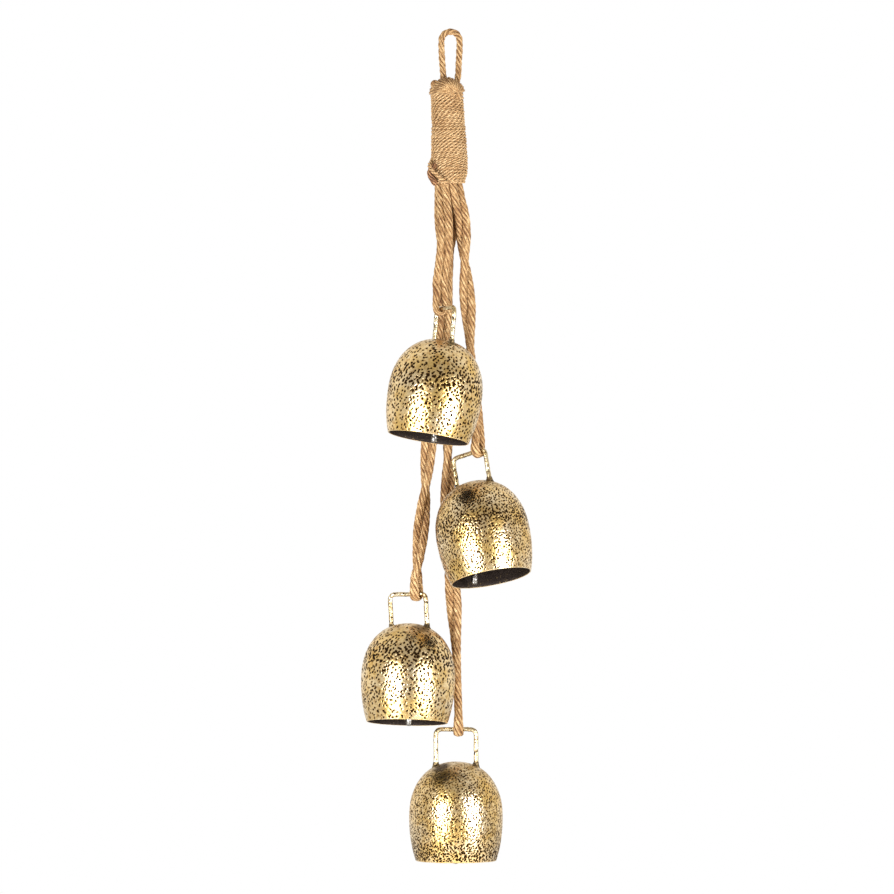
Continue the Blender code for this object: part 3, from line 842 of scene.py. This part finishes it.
def pitted(rows, spacing, look, seed):
    """Depth of the small pits over the shell's outside, from 0 to 1, on its grid of corners."""
    rng = np.random.default_rng(seed)
    pits = np.zeros((len(rows), SHELL_SIDES))
    ring_area = 2 * math.pi * rows[:, 0] * spacing
    total = np.cumsum(ring_area)
    count = int(total[-1] / look["cell"] ** 2)
    angle_step = 2 * math.pi / SHELL_SIDES
    golden = math.pi * (3 - math.sqrt(5))
    share = (np.arange(count) + 0.5 + rng.uniform(-0.4, 0.4, count)) / count
    centre_row = np.interp(share * total[-1], total, np.arange(len(rows)))
    centre_angle = np.arange(count) * golden
    for k in range(count):
        row = centre_row[k] + rng.normal(0.0, 0.22) * look["cell"] / spacing
        radius = max(np.interp(row, np.arange(len(rows)), rows[:, 0]), 0.003)
        angle = centre_angle[k] + rng.normal(0.0, 0.25) * look["cell"] / radius
        height = np.interp(row, np.arange(len(rows)), rows[:, 1])
        long = look["long"] * rng.uniform(0.7, 1.3)
        wide = look["wide"] * rng.uniform(0.7, 1.25)
        lean = rng.normal(math.pi / 2, 0.75)
        depth = rng.uniform(0.70, 1.0)
        crown = fade((height - 0.066) / 0.020)
        # painted dark reflection: within the band the pits grow and are skipped less, standing for
        # the dents' dark reflections near the highlights' edges
        heavy = fade(1 - abs(height - look["dark_reflection_band"]) / DARK_REFLECTION_BAND_HALF)
        long *= 1 + 0.30 * heavy
        wide *= 1 + 0.25 * heavy
        if rng.uniform() < PIT_SKIP * (1 - heavy) + CROWN_SKIP * crown:
            continue
        low = max(int(row - long / spacing) - 1, 1)
        high = min(int(row + long / spacing) + 2, len(rows) - 1)
        reach = int(long / (radius * angle_step)) + 2
        if reach > SHELL_SIDES // 2 or low >= high:
            continue
        near_rows = np.arange(low, high)
        middle = int(angle / angle_step)
        near_sides = np.arange(middle - reach, middle + reach + 1)
        up = ((near_rows - row) * spacing)[:, None]
        across = (near_sides * angle_step - angle)[None, :] * rows[near_rows, 0][:, None]
        u = across * math.cos(lean) + up * math.sin(lean)
        v = -across * math.sin(lean) + up * math.cos(lean)
        taper = 1 - 0.45 * np.clip(u / long, -1, 1) * rng.choice((-1, 1))
        away = np.sqrt((u / long) ** 2 + (v / (wide * taper)) ** 2)
        stamp = depth * np.clip((1.12 - away) / 0.55, 0.0, 1.0)
        place = np.ix_(near_rows, near_sides % SHELL_SIDES)
        pits[place] = np.maximum(pits[place], stamp)
    return pits


def finish(piece, body, slot, *nodes):
    """The piece rides on its body and stands for its CAD nodes; slot is not used."""
    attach(piece, body)
    if nodes:
        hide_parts(*nodes)


def finish_bell(soup, bell, name, materials, slot, part, body=None):
    """The soup becomes a named piece of the bell and stands for one of its CAD nodes."""
    prefix = "bell_%d_" % bell.number
    finish(soup.piece(prefix + name, materials), body or bell.body, slot, prefix + part)


def spun(rows, normals, depth):
    """Corners of profile rows turned about the axis, moved out along their normals."""
    angles = 2 * math.pi * np.arange(SHELL_SIDES) / SHELL_SIDES
    radius = rows[:, 0][:, None] + normals[:, 0][:, None] * depth
    height = rows[:, 1][:, None] + normals[:, 1][:, None] * depth
    return np.stack((radius * np.cos(angles), radius * np.sin(angles), height), axis=-1)


def smoke_on(points, look, crown):
    """How smoky the outside is: one patch, the feet of the bail and a little of the crown."""
    direction, distance, size = look["patch"]
    turn = math.radians(direction)
    patch = (distance * math.cos(turn), distance * math.sin(turn), CREST_HEIGHT - PATCH_DROP)
    away = np.linalg.norm(points - np.array(patch), axis=-1)
    smoke = np.exp(-(away**2) / (2 * size**2 / 2.2))
    for side in (-1, 1):
        foot = np.array((side * BAIL_HALF_SPAN, 0.0, BAIL_FOOT))
        away = np.linalg.norm(points - foot, axis=-1)
        smoke = np.maximum(smoke, 0.9 * np.exp(-((away / FOOT_SMOKE) ** 2)))
    return np.maximum(smoke, 0.35 * crown * np.ones_like(smoke))


def add_shell(bell, look, gold):
    """Hammered shell: outside with dents and pits, rolled mouth edge, dark inside."""
    seed = bell.number
    outer, outward, spacing = even_rows(
        shell_profile(BELLY_RADIUS, MOUTH_RADIUS, CREST_HEIGHT), SHELL_ROWS
    )
    inner, inward, _ = even_rows(
        shell_profile(BELLY_RADIUS - SHEET, MOUTH_RADIUS - SHEET, CREST_HEIGHT - SHEET), INNER_ROWS
    )
    pits = pitted(outer, spacing, look, 40 + seed)
    smooth = spun(outer, outward, np.zeros((len(outer), SHELL_SIDES)))
    crown = fade((outer[:, 1] - CROWN_FROM) / CROWN_REACH)[:, None]
    depth = BROAD_DENT * field(smooth, BROAD_SIZE, seed) * (1 - 0.5 * crown)
    depth += SMALL_DENT * field(smooth, SMALL_SIZE, seed + 9) * (1 - 0.5 * crown)
    depth -= PIT_DEPTH * pits
    depth[-1] = depth[-1].mean()
    smoke = smoke_on(smooth, look, crown)
    outside = spun(outer, outward, depth)
    flat_inside = spun(inner, inward, np.zeros((len(inner), SHELL_SIDES)))
    inside = spun(inner, inward, INNER_DENT * field(flat_inside, INNER_SIZE, seed))
    turn = math.pi * np.arange(1, RIM_ROWS) / RIM_ROWS
    middle = 0.5 * (outer[0, 0] + inner[0, 0])
    rim = np.stack((middle + 0.5 * SHEET * np.cos(turn), -0.5 * SHEET * np.sin(turn)), axis=1)
    rim_depth = depth[0][None, :] * np.linspace(0.85, 0.2, len(rim))[:, None]
    edge = spun(rim, np.tile((1.0, 0.0), (len(rim), 1)), rim_depth)

    sheets = (outside[-2::-1], edge, inside[:-1])
    tips = [outside[-1].mean(axis=0), inside[-1].mean(axis=0)]
    verts = bell.world(np.concatenate([part.reshape(-1, 3) for part in sheets] + [tips]))
    size = len(verts) - 2
    faces = grid_faces(size // SHELL_SIDES, SHELL_SIDES)[:, ::-1]
    outer_faces = (len(outside) + len(edge) - 2) * SHELL_SIDES
    top = fan(0, SHELL_SIDES, size, True)[:, ::-1]
    under = fan(size - SHELL_SIDES, SHELL_SIDES, size + 1)[:, ::-1]
    pit = np.concatenate((pits[-2::-1].ravel(), 0.3 * np.tile(pits[0], len(edge))))
    pit = np.pad(pit, (0, len(verts) - len(pit)))
    smoke = smoke[-2::-1].ravel()
    smoke = np.pad(smoke, (0, len(verts) - len(smoke)))
    soup = Soup()
    groups = (faces[:outer_faces], 0), (top, 0), (faces[outer_faces:], 1), (under, 1)
    soup.add(verts, *zip(*groups), pit=pit, smoke=smoke)
    finish_bell(soup, bell, "hammered_shell", [gold, INSIDE], "antique_gold", "shell")


def rod_soup(line, sides, shape, **values):
    """A round rod along the line, whose fourth column is its radius; shape alters its surface."""
    points, radii = line[:, :3], line[:, 3]
    tangents, first, second = carried_frames(points)
    angles = 2 * math.pi * np.arange(sides) / sides
    away = np.cos(angles)[None, :, None] * first[:, None, :]
    away = away + np.sin(angles)[None, :, None] * second[:, None, :]
    reach = np.repeat(radii[:, None], sides, axis=1)
    reach = reach + shape(points[:, None, :] + reach[..., None] * away)
    body = points[:, None, :] + reach[..., None] * away
    ends, tips = [], []
    for at, way in ((0, -1), (-1, 1)):
        push = way * 0.5 * radii[at] * tangents[at]
        ends.append([points[at] + 0.88 * (body[at] - points[at]) + 0.5 * push])
        tips.append(points[at] + push)
    verts, faces = tube(ends[0] + list(body) + ends[1], tips)
    soup = Soup()
    soup.add(verts, faces, **{name: f(verts) if callable(f) else f for name, f in values.items()})
    return soup


def bail_line(bell):
    """Centre line of the bail wire in the bell's frame, from foot to foot."""
    path = []
    for k in range(4):
        rise = (bell.height - BAIL_CORNER - BAIL_FOOT) * k / 3
        path.append([-BAIL_HALF_SPAN, 0.0, BAIL_FOOT + rise - (0.0012 if k == 0 else 0.0)])
    for k in range(1, 5):
        turn = 0.5 * math.pi * k / 4
        x = -BAIL_HALF_SPAN + BAIL_CORNER * (1 - math.cos(turn))
        path.append([x, 0.0, bell.height - BAIL_CORNER * (1 - math.sin(turn))])
    path.append([-0.0045, 0.0, bell.height])
    path += [[-x, y, z] for x, y, z in reversed(path)]
    for p in path:
        share = max(p[2] - BAIL_FOOT, 0.0) / (bell.height - BAIL_FOOT)
        p[0] += bell.lean[0] * share
        p[1] += bell.lean[1] * share
    return np.array([bell.world(p) for p in path])


def add_bail(bell):
    """Hammered wire bail."""
    path = bail_line(bell)
    line = smooth_line(np.column_stack((path, np.full(len(path), BAIL_WIRE / 2))), 0.55 * MM)
    line[:, :3] += 0.16 * MM * np.stack(
        [wave(np.arange(len(line)) * 0.05, bell.number + axis) for axis in (1, 2, 3)], axis=1
    )

    def beaten(points):
        """Dents left by the hammer."""
        dent = field(points, 0.0030, bell.number + 20)
        return -0.34 * MM * np.clip(dent - 0.02, 0.0, 0.6) / 0.6 + 0.05 * MM

    def dark(points):
        """Dark places in the dents."""
        dent = field(points, 0.0030, bell.number + 20)
        speck = field(points, 0.0012, bell.number + 25)
        return np.clip((0.45 * dent + speck - 0.20) / 0.50, 0.0, 0.8)

    soup = rod_soup(line, 18, beaten, pit=dark, smoke=0.0)
    finish_bell(soup, bell, "hammered_bail", [WIRE_GOLD], "bail_wire", "bail")


def dome_height(radius):
    """Height of the shell's outside over the mouth, at a distance from its axis."""
    part = 1 - (radius / BELLY_RADIUS) ** CURVE_POWER
    return BELLY_HEIGHT + (CREST_HEIGHT - BELLY_HEIGHT) * part ** (1 / CURVE_POWER)


def add_braze(bell, side, name):
    """Lumpy scorched collar of braze round one foot of the bail."""
    sides, rows = 28, 9
    tilt = np.array(bell.lean) / (bell.height - BAIL_FOOT)
    verts = []
    for r in range(rows + 1):
        share = r / rows
        radius = BRAZE_NECK_RADIUS + (BRAZE_FOOT_RADIUS - BRAZE_NECK_RADIUS) * (1 - share) ** 2.2
        for k in range(sides):
            turn = 2 * math.pi * k / sides
            x = side * BAIL_HALF_SPAN + radius * math.cos(turn)
            y = radius * math.sin(turn)
            low = dome_height(math.hypot(x, y)) - 0.0003
            z = low + (BAIL_FOOT + BRAZE_RISE - low) * share
            rise = max(z - BAIL_FOOT, 0.0)
            verts.append((x + tilt[0] * rise, y + tilt[1] * rise, z))
    verts = np.array(verts).reshape(rows + 1, sides, 3)
    middle = verts.mean(axis=1)[:, None, :]
    lumps = 1 + 0.16 * field(verts, 0.0022, bell.number + side + 30)[..., None]
    verts[:] = middle + (verts - middle) * lumps
    caps = [verts[0].mean(axis=0), verts[-1].mean(axis=0)]
    flat = bell.world(np.concatenate((verts.reshape(-1, 3), caps)))
    size = len(flat) - 2
    soup = Soup()
    ends = fan(0, sides, size, True), fan(size - sides, sides, size + 1)
    soup.add(flat, (grid_faces(rows + 1, sides), *ends))
    finish_bell(soup, bell, "scorched_braze_" + name, [SCORCHED], "braze", "braze_" + name)


def add_staple(bell):
    """Black wire staple under the crown."""
    path = [(-STAPLE_RADIUS, 0.0, STAPLE_TOP)]
    for k in range(9):
        turn = math.pi * k / 8
        x = -STAPLE_RADIUS * math.cos(turn)
        path.append((x, 0.0, STAPLE_CENTRE - STAPLE_RADIUS * math.sin(turn)))
    path.append((STAPLE_RADIUS, 0.0, STAPLE_TOP))
    rows = np.column_stack((bell.world(np.array(path)), np.full(len(path), STAPLE_WIRE / 2)))

    def forged(points):
        """Slight hammer marks."""
        return 0.07 * MM * field(points, 0.0020, bell.number + 50)

    soup = rod_soup(smooth_line(rows, 0.6 * MM), 14, forged)
    finish_bell(soup, bell, "wire_staple", [BLACK_IRON], "dark_iron", "staple")


def add_clapper(bell):
    """Rod clapper with an eye that hangs on the staple."""
    joint = JOINTS["clapper_%d_swing" % bell.number]
    pivot = Vector(joint["pos_m"])
    points = node_points("bell_%d_clapper" % bell.number)
    middle, _, axes = main_axes(points)
    rod = upward(Vector(axes[2]))
    hinge = Vector(joint["axis"]).normalized()
    side = rod.cross(hinge).normalized()
    hinge = side.cross(rod)
    place = Matrix.Translation(pivot) @ Matrix((hinge, side, rod)).transposed().to_4x4()
    top = (STAPLE_WIRE + CLAPPER_WIRE) / 2 + CLAPPER_PLAY
    centre = top - CLAPPER_EYE
    rows = []
    for k in range(13):
        turn = math.radians(-62.0 + 332.0 * k / 12)
        y = CLAPPER_EYE * math.cos(turn)
        rows.append((0.0, y, centre + CLAPPER_EYE * math.sin(turn), CLAPPER_WIRE / 2))
    neck = centre - CLAPPER_EYE - 0.0030
    for share, width in (
        (0.0, CLAPPER_WIRE),
        (0.05, CLAPPER_ROD),
        (0.25, CLAPPER_ROD),
        (0.45, CLAPPER_ROD),
        (0.65, CLAPPER_ROD),
        (0.85, 0.5 * (CLAPPER_ROD + CLAPPER_TIP)),
        (0.95, CLAPPER_TIP),
        (1.0, 0.8 * CLAPPER_TIP),
    ):
        rows.append((0.0, 0.0, neck + share * (-CLAPPER_LENGTH - neck), width / 2))
    rows = np.array(rows)
    rows[:, :3] = moved(place, rows[:, :3])

    def worn(points):
        """Small dents of use."""
        return 0.10 * MM * field(points, 0.0028, bell.number + 60)

    soup = rod_soup(smooth_line(rows, 0.6 * MM), 18, worn)
    body = "clapper_%d" % bell.number
    finish_bell(soup, bell, "rod_clapper", [ROD_STEEL], "bright_rod", "clapper", body)


# ---------------------------------------------------------------- ropes and binding


def smooth_route(rows, z):
    """Middle and turn of a rope's legs at a height, on the smooth curve through its route rows."""
    k = 0
    while k < len(rows) - 2 and rows[k + 1].z > z:
        k += 1
    a, b = rows[k], rows[k + 1]
    before = rows[max(k - 1, 0)]
    after = rows[min(k + 2, len(rows) - 1)]
    t = (a.z - z) / (a.z - b.z)
    slope_a = (b - before) / (before.z - b.z) * (a.z - b.z)
    slope_b = (after - a) / (a.z - after.z) * (a.z - b.z)
    at = (
        (2 * t**3 - 3 * t**2 + 1) * a
        + (t**3 - 2 * t**2 + t) * slope_a
        + (-2 * t**3 + 3 * t**2) * b
        + (t**3 - t**2) * slope_b
    )
    return Vector((at.x, at.y, z)), math.radians(at.w)


def binding_at(z):
    """Middle and radius of the binding at a height."""
    heights, middle, radius = np.array(BINDING_PROFILE)[::-1].T
    return np.interp(z, heights, middle), np.interp(z, heights, radius)


def slot_place(slot, z):
    """Place of one bound rope end inside the binding."""
    turn = math.radians(22.5 + 45.0 * slot)
    middle = float(binding_at(z)[0])
    return Vector((middle + SLOT_RADIUS * math.cos(turn), SLOT_RADIUS * math.sin(turn), z))


def leg_rows(slots, route, bell, side):
    """Centre line and radius of one leg, from inside the binding down to the fold."""
    foot = ROPE_EXIT + GATHER_RISE / 5
    first, second = [slot_place(slot, foot) for slot in slots]
    turn = math.degrees(math.atan2(first.y - second.y, first.x - second.x))
    rows = [Vector(((first.x + second.x) / 2, (first.y + second.y) / 2, foot, turn))]
    rows += [Vector(row) for row in route]
    across = bell.across()
    seat = math.degrees(math.atan2(across.y, across.x))
    half_turns = round((rows[-1].w - seat) / 180.0)
    gather = bell.hook.z + GATHER_RISE
    rows.append(Vector((bell.hook.x, bell.hook.y, gather, seat + 180.0 * half_turns)))
    bound_half = (first - second).length / 2
    slot = slots[0 if side > 0 else 1]
    line = []
    for rise in (ROPE_HIDDEN, ROPE_HIDDEN / 2, 0.0):
        line.append((*slot_place(slot, foot + rise), BOUND_ROPE / 2))
    count = round((foot - gather) / 0.0065)
    for k in range(1, count + 1):
        z = foot + (gather - foot) * k / count
        middle, turn = smooth_route(rows, z)
        grown = float(fade((foot - z) / ROPE_SWELL))
        half = bound_half + (LEG_HALF_SPACING - bound_half) * grown
        out = Vector((math.cos(turn), math.sin(turn), 0.0)) * side
        radius = (BOUND_ROPE + (ROPE - BOUND_ROPE) * grown) / 2
        line.append((*(middle + half * out), radius))
    line.append((*(bell.hook + out * FOLD_RADIUS + UP * 0.45 * GATHER_RISE), ROPE / 2))
    return line, out


def rope_line(slots, route, bell):
    """The whole rope: down one leg, under the bail's bar and up the other leg."""
    down, out = leg_rows(slots, route, bell, 1)
    up, _ = leg_rows(slots, route, bell, -1)
    lift = upward(out.cross(bell.bar).normalized())
    fold = []
    for k in range(9):
        turn = math.pi * k / 8
        across = out * FOLD_RADIUS * math.cos(turn)
        fold.append((*(bell.hook + across - lift * FOLD_RADIUS * math.sin(turn)), ROPE / 2))
    return smooth_line(down + fold + up[::-1], 1.0 * MM)


def add_rope(number, line, bell):
    """One doubled rope from the binding, folded over a bail."""
    bar = np.array(bell.bar)
    nearest = np.linalg.norm(line[:, :3] - np.array(bell.hook - UP * FOLD_RADIUS), axis=1).argmin()

    def folded(offset, tangents, along):
        """Flatten the rope where it bears on the bar: wide along it, thin towards it."""
        away = np.abs(along - along[nearest])
        share = 1 - fade((away - FOLD_REACH) / FOLD_FADE)
        wide = bar[None, :] - tangents * (tangents @ bar)[:, None]
        wide /= np.linalg.norm(wide, axis=1)[:, None]
        thin = np.cross(tangents, wide)
        for way, factor in ((wide, FOLD_WIDTH), (thin, FOLD_THICKNESS)):
            part = np.einsum("rsk,rk->rs", offset, way)
            gain = (factor - 1) * share
            offset = offset + (gain[:, None] * part)[..., None] * way[:, None, :]
        return offset

    soup = Soup()
    laid = add_laid(soup, line, ROPE_LAY, number * 5.0, folded)
    add_hairs(soup, laid, np.random.default_rng(100 + number), *ROPE_HAIRS)
    piece = soup.piece("rope_%d_laid" % number, [ROPE_JUTE])
    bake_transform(piece)
    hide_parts("rope_%d" % number)


def loop_line():
    """Centre line and radius of the hanging loop, with both ends inside the binding."""
    top = LOOP_ROPE / 2
    centre = top - LOOP_HALF_SPAN
    half = [(0.0, top)]
    for k in range(1, 7):
        turn = 0.5 * math.pi * k / 6
        half.append(
            (LOOP_HALF_SPAN * math.sin(turn), centre + LOOP_HALF_SPAN * math.cos(turn))
        )
    half += [(0.0078, -0.0150), (0.0071, -0.0270), (LOOP_NECK_HALF_SPAN, -0.0385)]
    sides = []
    for side in (-1, 1):
        path = [(side * x, 0.0, z, LOOP_SHOWN / 2) for x, z in half]
        for z in (-0.0480, -0.0570, -0.0750):
            settled = float(fade((-0.0385 - z) / 0.0185))
            held = float(binding_at(z)[0]) + side * LOOP_BOUND_HALF_SPAN
            x = side * LOOP_NECK_HALF_SPAN * (1 - settled) + held * settled
            path.append((x, 0.0, z, LOOP_SHOWN / 2))
        sides.append(path)
    left, right = sides
    return smooth_line(left[::-1] + right[1:], 1.0 * MM)


def add_hanger_piece(name, line, make, material, slot, node):
    """A laid piece of the hanger with its loose fibres; make is its lay, seed and fibres."""
    lay, seed, hairs = make
    soup = Soup()
    laid = add_laid(soup, line, lay, seed)
    add_hairs(soup, laid, np.random.default_rng(100 + seed), *hairs)
    finish(soup.piece(name, [material]), "hanger", slot, node)


def winding_line():
    """Centre line of the wound twine, turn by turn from the top down."""
    steps = 130
    count = TWINE_TURNS * steps
    share = np.arange(count + 1) / count
    angle = -2 * math.pi * TWINE_TURNS * share + math.radians(140.0)
    top = BINDING_PROFILE[0][0] - 0.45 * TWINE
    foot = BINDING_PROFILE[-1][0] + 0.45 * TWINE
    z = top + (foot - top) * share
    tilt = np.zeros_like(z)
    for start, rise, direction in TWINE_BLOCKS:
        inside = fade((start - z) / 0.0110 + 0.5)
        lean = rise * np.cos(angle - math.radians(direction))
        tilt = tilt * (1 - inside) + lean * inside
    ends = fade((top - z) / 0.006) * fade((z - foot) / 0.006)
    middle, radius = binding_at(z)
    turns = share * TWINE_TURNS
    loose = 0.26 * MM * wave(turns * 2.3, 3) + 0.22 * MM * wave(turns * 5.1, 4)
    slip = 0.48 * MM * wave(turns * 1.9, 5) + 0.26 * MM * wave(turns * 4.3, 7)
    radius = radius - TWINE / 2 + loose
    height = z + tilt * ends + slip * ends
    x = middle + radius * np.cos(angle)
    y = radius * np.sin(angle)
    thick = TWINE / 2 * (1.04 + 0.12 * wave(turns * 3.1, 6))
    return np.stack((x, y, height, thick), axis=1)


UNDER_SIDES = 64
UNDER_RINGS = 90


def add_under_layer(soup):
    """Lower layer of twine, seen only between the turns of the upper one."""
    top, foot = BINDING_PROFILE[0][0] - 0.6 * TWINE, BINDING_PROFILE[-1][0] + 0.6 * TWINE
    z = np.linspace(top, foot, UNDER_RINGS)
    middle, radius = binding_at(z)
    angle = np.arange(UNDER_SIDES) * 2 * math.pi / UNDER_SIDES
    reach = (radius - 0.66 * TWINE)[:, None]
    verts = np.empty((UNDER_RINGS, UNDER_SIDES, 3))
    verts[..., 0] = middle[:, None] + reach * np.cos(angle)
    verts[..., 1] = reach * np.sin(angle)
    verts[..., 2] = z[:, None]
    lay = np.empty_like(verts)
    lay[..., 0] = z[:, None] / TWINE
    lay[..., 1] = 0.0
    lay[..., 2] = 4.0 * angle[None, :]
    faces = grid_faces(UNDER_RINGS, UNDER_SIDES)[:, ::-1]
    ring = np.arange(UNDER_SIDES)[None, :]
    # raised 0.42 paints the lower layer with part of the crease shade, as it lies sunk between the
    # upper turns
    soup.add(verts, (faces, ring, UNDER_RINGS * UNDER_SIDES - 1 - ring), lay=lay, raised=0.42)


def add_binding():
    """Twine wound round the rope ends."""
    soup = Soup()
    laid = add_laid(soup, winding_line(), TWINE_LAY, 41.0)
    add_under_layer(soup)
    add_hairs(soup, laid, np.random.default_rng(141), *WINDING_HAIRS)
    finish(soup.piece("binding_winding", [TWINE_JUTE]), "hanger", "jute_twine", "binding_twine")


def add_top_ends():
    """The bound rope ends that fan out over the top of the binding."""
    soup = Soup()
    rng = np.random.default_rng(151)
    for number, route in enumerate(TOP_ENDS):
        widths = (BOUND_ROPE, END_ROPE, END_ROPE)
        rows = [(*place, width / 2) for place, width in zip(route, widths)]
        line = smooth_line(rows, 0.8 * MM)
        laid = add_laid(soup, line, END_LAY, 51.0 + 3 * number, round_end=0.75)
        top = [part[len(line) // 2 :] for part in laid]
        add_hairs(soup, top, rng, *END_HAIRS)
    for number in range(FAN_YARNS):
        share = number / (FAN_YARNS - 1)
        turn = math.radians(FAN_FROM + (FAN_TO - FAN_FROM) * share)
        tip = FAN_MIDDLE + Vector(
            (FAN_REACH[0] * math.cos(turn), 0.0020, FAN_REACH[2] * math.sin(turn))
        )
        start = FAN_TUCK + Vector((0.0030 * math.cos(turn), 0.0, 0.0008 * math.sin(turn)))
        middle = start.lerp(tip, 0.52)
        middle.y = FAN_MIDDLE.y - FAN_REACH[1] * math.sqrt(
            max(1 - ((middle.x - FAN_MIDDLE.x) / (1.15 * FAN_REACH[0])) ** 2, 0.1)
        )
        middle.y += rng.uniform(-0.4, 0.4) * MM
        top = start.lerp(tip, 0.88)
        top.y = 0.5 * (middle.y + tip.y) - 0.0012
        thick = FAN_YARN * rng.uniform(0.88, 1.12)
        rows = [
            (*start, 0.36 * thick),
            (*middle, 0.47 * thick),
            (*top, 0.50 * thick),
            (*tip, 0.44 * thick),
        ]
        laid = add_laid(soup, smooth_line(rows, 0.5 * MM), FAN_LAY, 200.0 + number, round_end=0.9)
        add_hairs(soup, laid, rng, *FAN_HAIRS)
    finish(soup.piece("bound_rope_ends", [ROPE_JUTE]), "hanger", "jute_rope")


# ---------------------------------------------------------------- camera, lights, floor

CAMERA_DISTANCE = 5.5
FRAME_WIDTH = 0.7867
FRAME_CENTRE = Vector((-0.0031, 0.0, -0.3623))
SENSOR = 36.0
FLOOR_HEIGHT = -1.15
FLOOR_RADIUS = 4.5
FLOOR_SIDES = 96
# the studio's light in front of the cluster and behind it, and the span over which it changes, as
# the Y part of a direction
STUDIO_LIGHT = (0.57, 1.22)
STUDIO_SPAN = (-0.75, 0.45)
COOL_WHITE = (0.90, 0.98, 1.18)
# soft lights: direction from the cluster in degrees from the front and from level, distance, height
# they point at, size, power and whether the gold mirrors them
SOFTBOXES = {
    "softbox_left": (-35.0, 0.0, 1.3, -0.52, (0.60, 0.84), 20.0, True),
    "softbox_right": (42.0, 0.0, 1.3, -0.52, (0.60, 0.84), 20.0, True),
    "overhead": (0.0, 60.0, 1.6, -0.30, (1.2, 1.2), 3.0, False),
}


def add_camera():
    """Long lens straight in front, level with the middle of the cluster."""
    data = bpy.data.cameras.new("camera")
    data.sensor_width = SENSOR
    data.lens = SENSOR * CAMERA_DISTANCE / FRAME_WIDTH
    data.clip_end = 50.0
    camera = bpy.data.objects.new("camera", data)
    camera.location = FRAME_CENTRE - Vector((0.0, CAMERA_DISTANCE, 0.0))
    camera.rotation_euler = (math.radians(90.0), 0.0, 0.0)
    bpy.context.scene.collection.objects.link(camera)
    bpy.context.scene.camera = camera


def add_softbox(name, azimuth, elevation, distance, height, size, power, mirrored):
    """Soft light that faces the cluster."""
    data = bpy.data.lights.new(name, "AREA")
    data.shape = "RECTANGLE"
    data.size, data.size_y = size
    data.energy = power
    data.color = COOL_WHITE
    turn, rise = math.radians(azimuth), math.radians(elevation)
    target = Vector((0.0, 0.0, height))
    away = Vector(
        (math.sin(turn) * math.cos(rise), -math.cos(turn) * math.cos(rise), math.sin(rise))
    )
    light = bpy.data.objects.new(name, data)
    light.location = target + away * distance
    light.rotation_euler = (-away).to_track_quat("-Z", "Y").to_euler()
    light.visible_camera = False
    light.visible_glossy = mirrored
    bpy.context.scene.collection.objects.link(light)


def add_world():
    """White studio: white to the eye, brighter behind the cluster than in front of it."""
    world = bpy.data.worlds.new("studio")
    world.use_nodes = True
    world.node_tree.nodes.clear()
    net = Net(world.node_tree)
    to_back = net.node("SeparateXYZ", {0: net.node("TexCoord").outputs["Generated"]}).outputs["Y"]
    inputs = dict(enumerate((to_back, *STUDIO_SPAN, *STUDIO_LIGHT)))
    strength = net.node("MapRange", inputs, interpolation_type="SMOOTHSTEP").outputs[0]
    lit = net.node("Background", {"Strength": strength}).outputs[0]
    seen = net.node("Background", {0: (1.0, 1.0, 1.0, 1.0)}).outputs[0]
    ray = net.node("LightPath").outputs["Is Camera Ray"]
    shown = net.node("MixShader", {0: ray, 1: lit, 2: seen}).outputs[0]
    net.node("OutputWorld", {0: shown})
    bpy.context.scene.world = world


def add_floor():
    """Plain pale round floor under the hanging cluster."""
    turns = [2 * math.pi * k / FLOOR_SIDES for k in range(FLOOR_SIDES)]
    edge = [(FLOOR_RADIUS * math.cos(t), FLOOR_RADIUS * math.sin(t), FLOOR_HEIGHT) for t in turns]
    faces = [(0, k + 1, (k + 1) % FLOOR_SIDES + 1) for k in range(FLOOR_SIDES)]
    mesh = bpy.data.meshes.new("floor")
    mesh.from_pydata([(0.0, 0.0, FLOOR_HEIGHT)] + edge, [], faces)
    mesh.materials.append(floor_material())
    floor = bpy.data.objects.new("floor", mesh)
    bpy.context.scene.collection.objects.link(floor)


add_camera()
bells = [Bell(number) for number in (1, 2, 3, 4)]
for bell, slots, route in zip(bells, ROPE_SLOTS, ROUTES):
    add_rope(bell.number, rope_line(slots, route, bell), bell)
add_hanger_piece(
    "hanging_loop_laid",
    loop_line(),
    (LOOP_LAY, 31, LOOP_HAIRS),
    ROPE_JUTE,
    "jute_rope",
    "hanging_loop",
)
add_binding()
add_top_ends()
tail = smooth_line([(*place, TAIL_ROPE / 2) for place in TAIL_ROUTE], 0.6 * MM)
add_hanger_piece(
    "cut_rope_tail", tail, (END_LAY, 71, TAIL_HAIRS), CUT_JUTE, "cut_jute", "binding_tail"
)
hitch = smooth_line([(*place, HITCH_TWINE / 2) for place in HITCH_ROUTE], 0.5 * MM)
add_hanger_piece(
    "slanting_hitch", hitch, (TWINE_LAY, 81, HITCH_HAIRS), TWINE_JUTE, "jute_twine", "twine_hitch"
)
for bell, look, gold in zip(bells, HAMMERING, SHEETS):
    add_shell(bell, look, gold)
    add_bail(bell)
    add_braze(bell, -1, "left")
    add_braze(bell, 1, "right")
    add_staple(bell)
    add_clapper(bell)
add_world()
add_floor()
for name, settings in SOFTBOXES.items():
    add_softbox(name, *settings)
bpy.context.scene.view_settings.view_transform = "Standard"
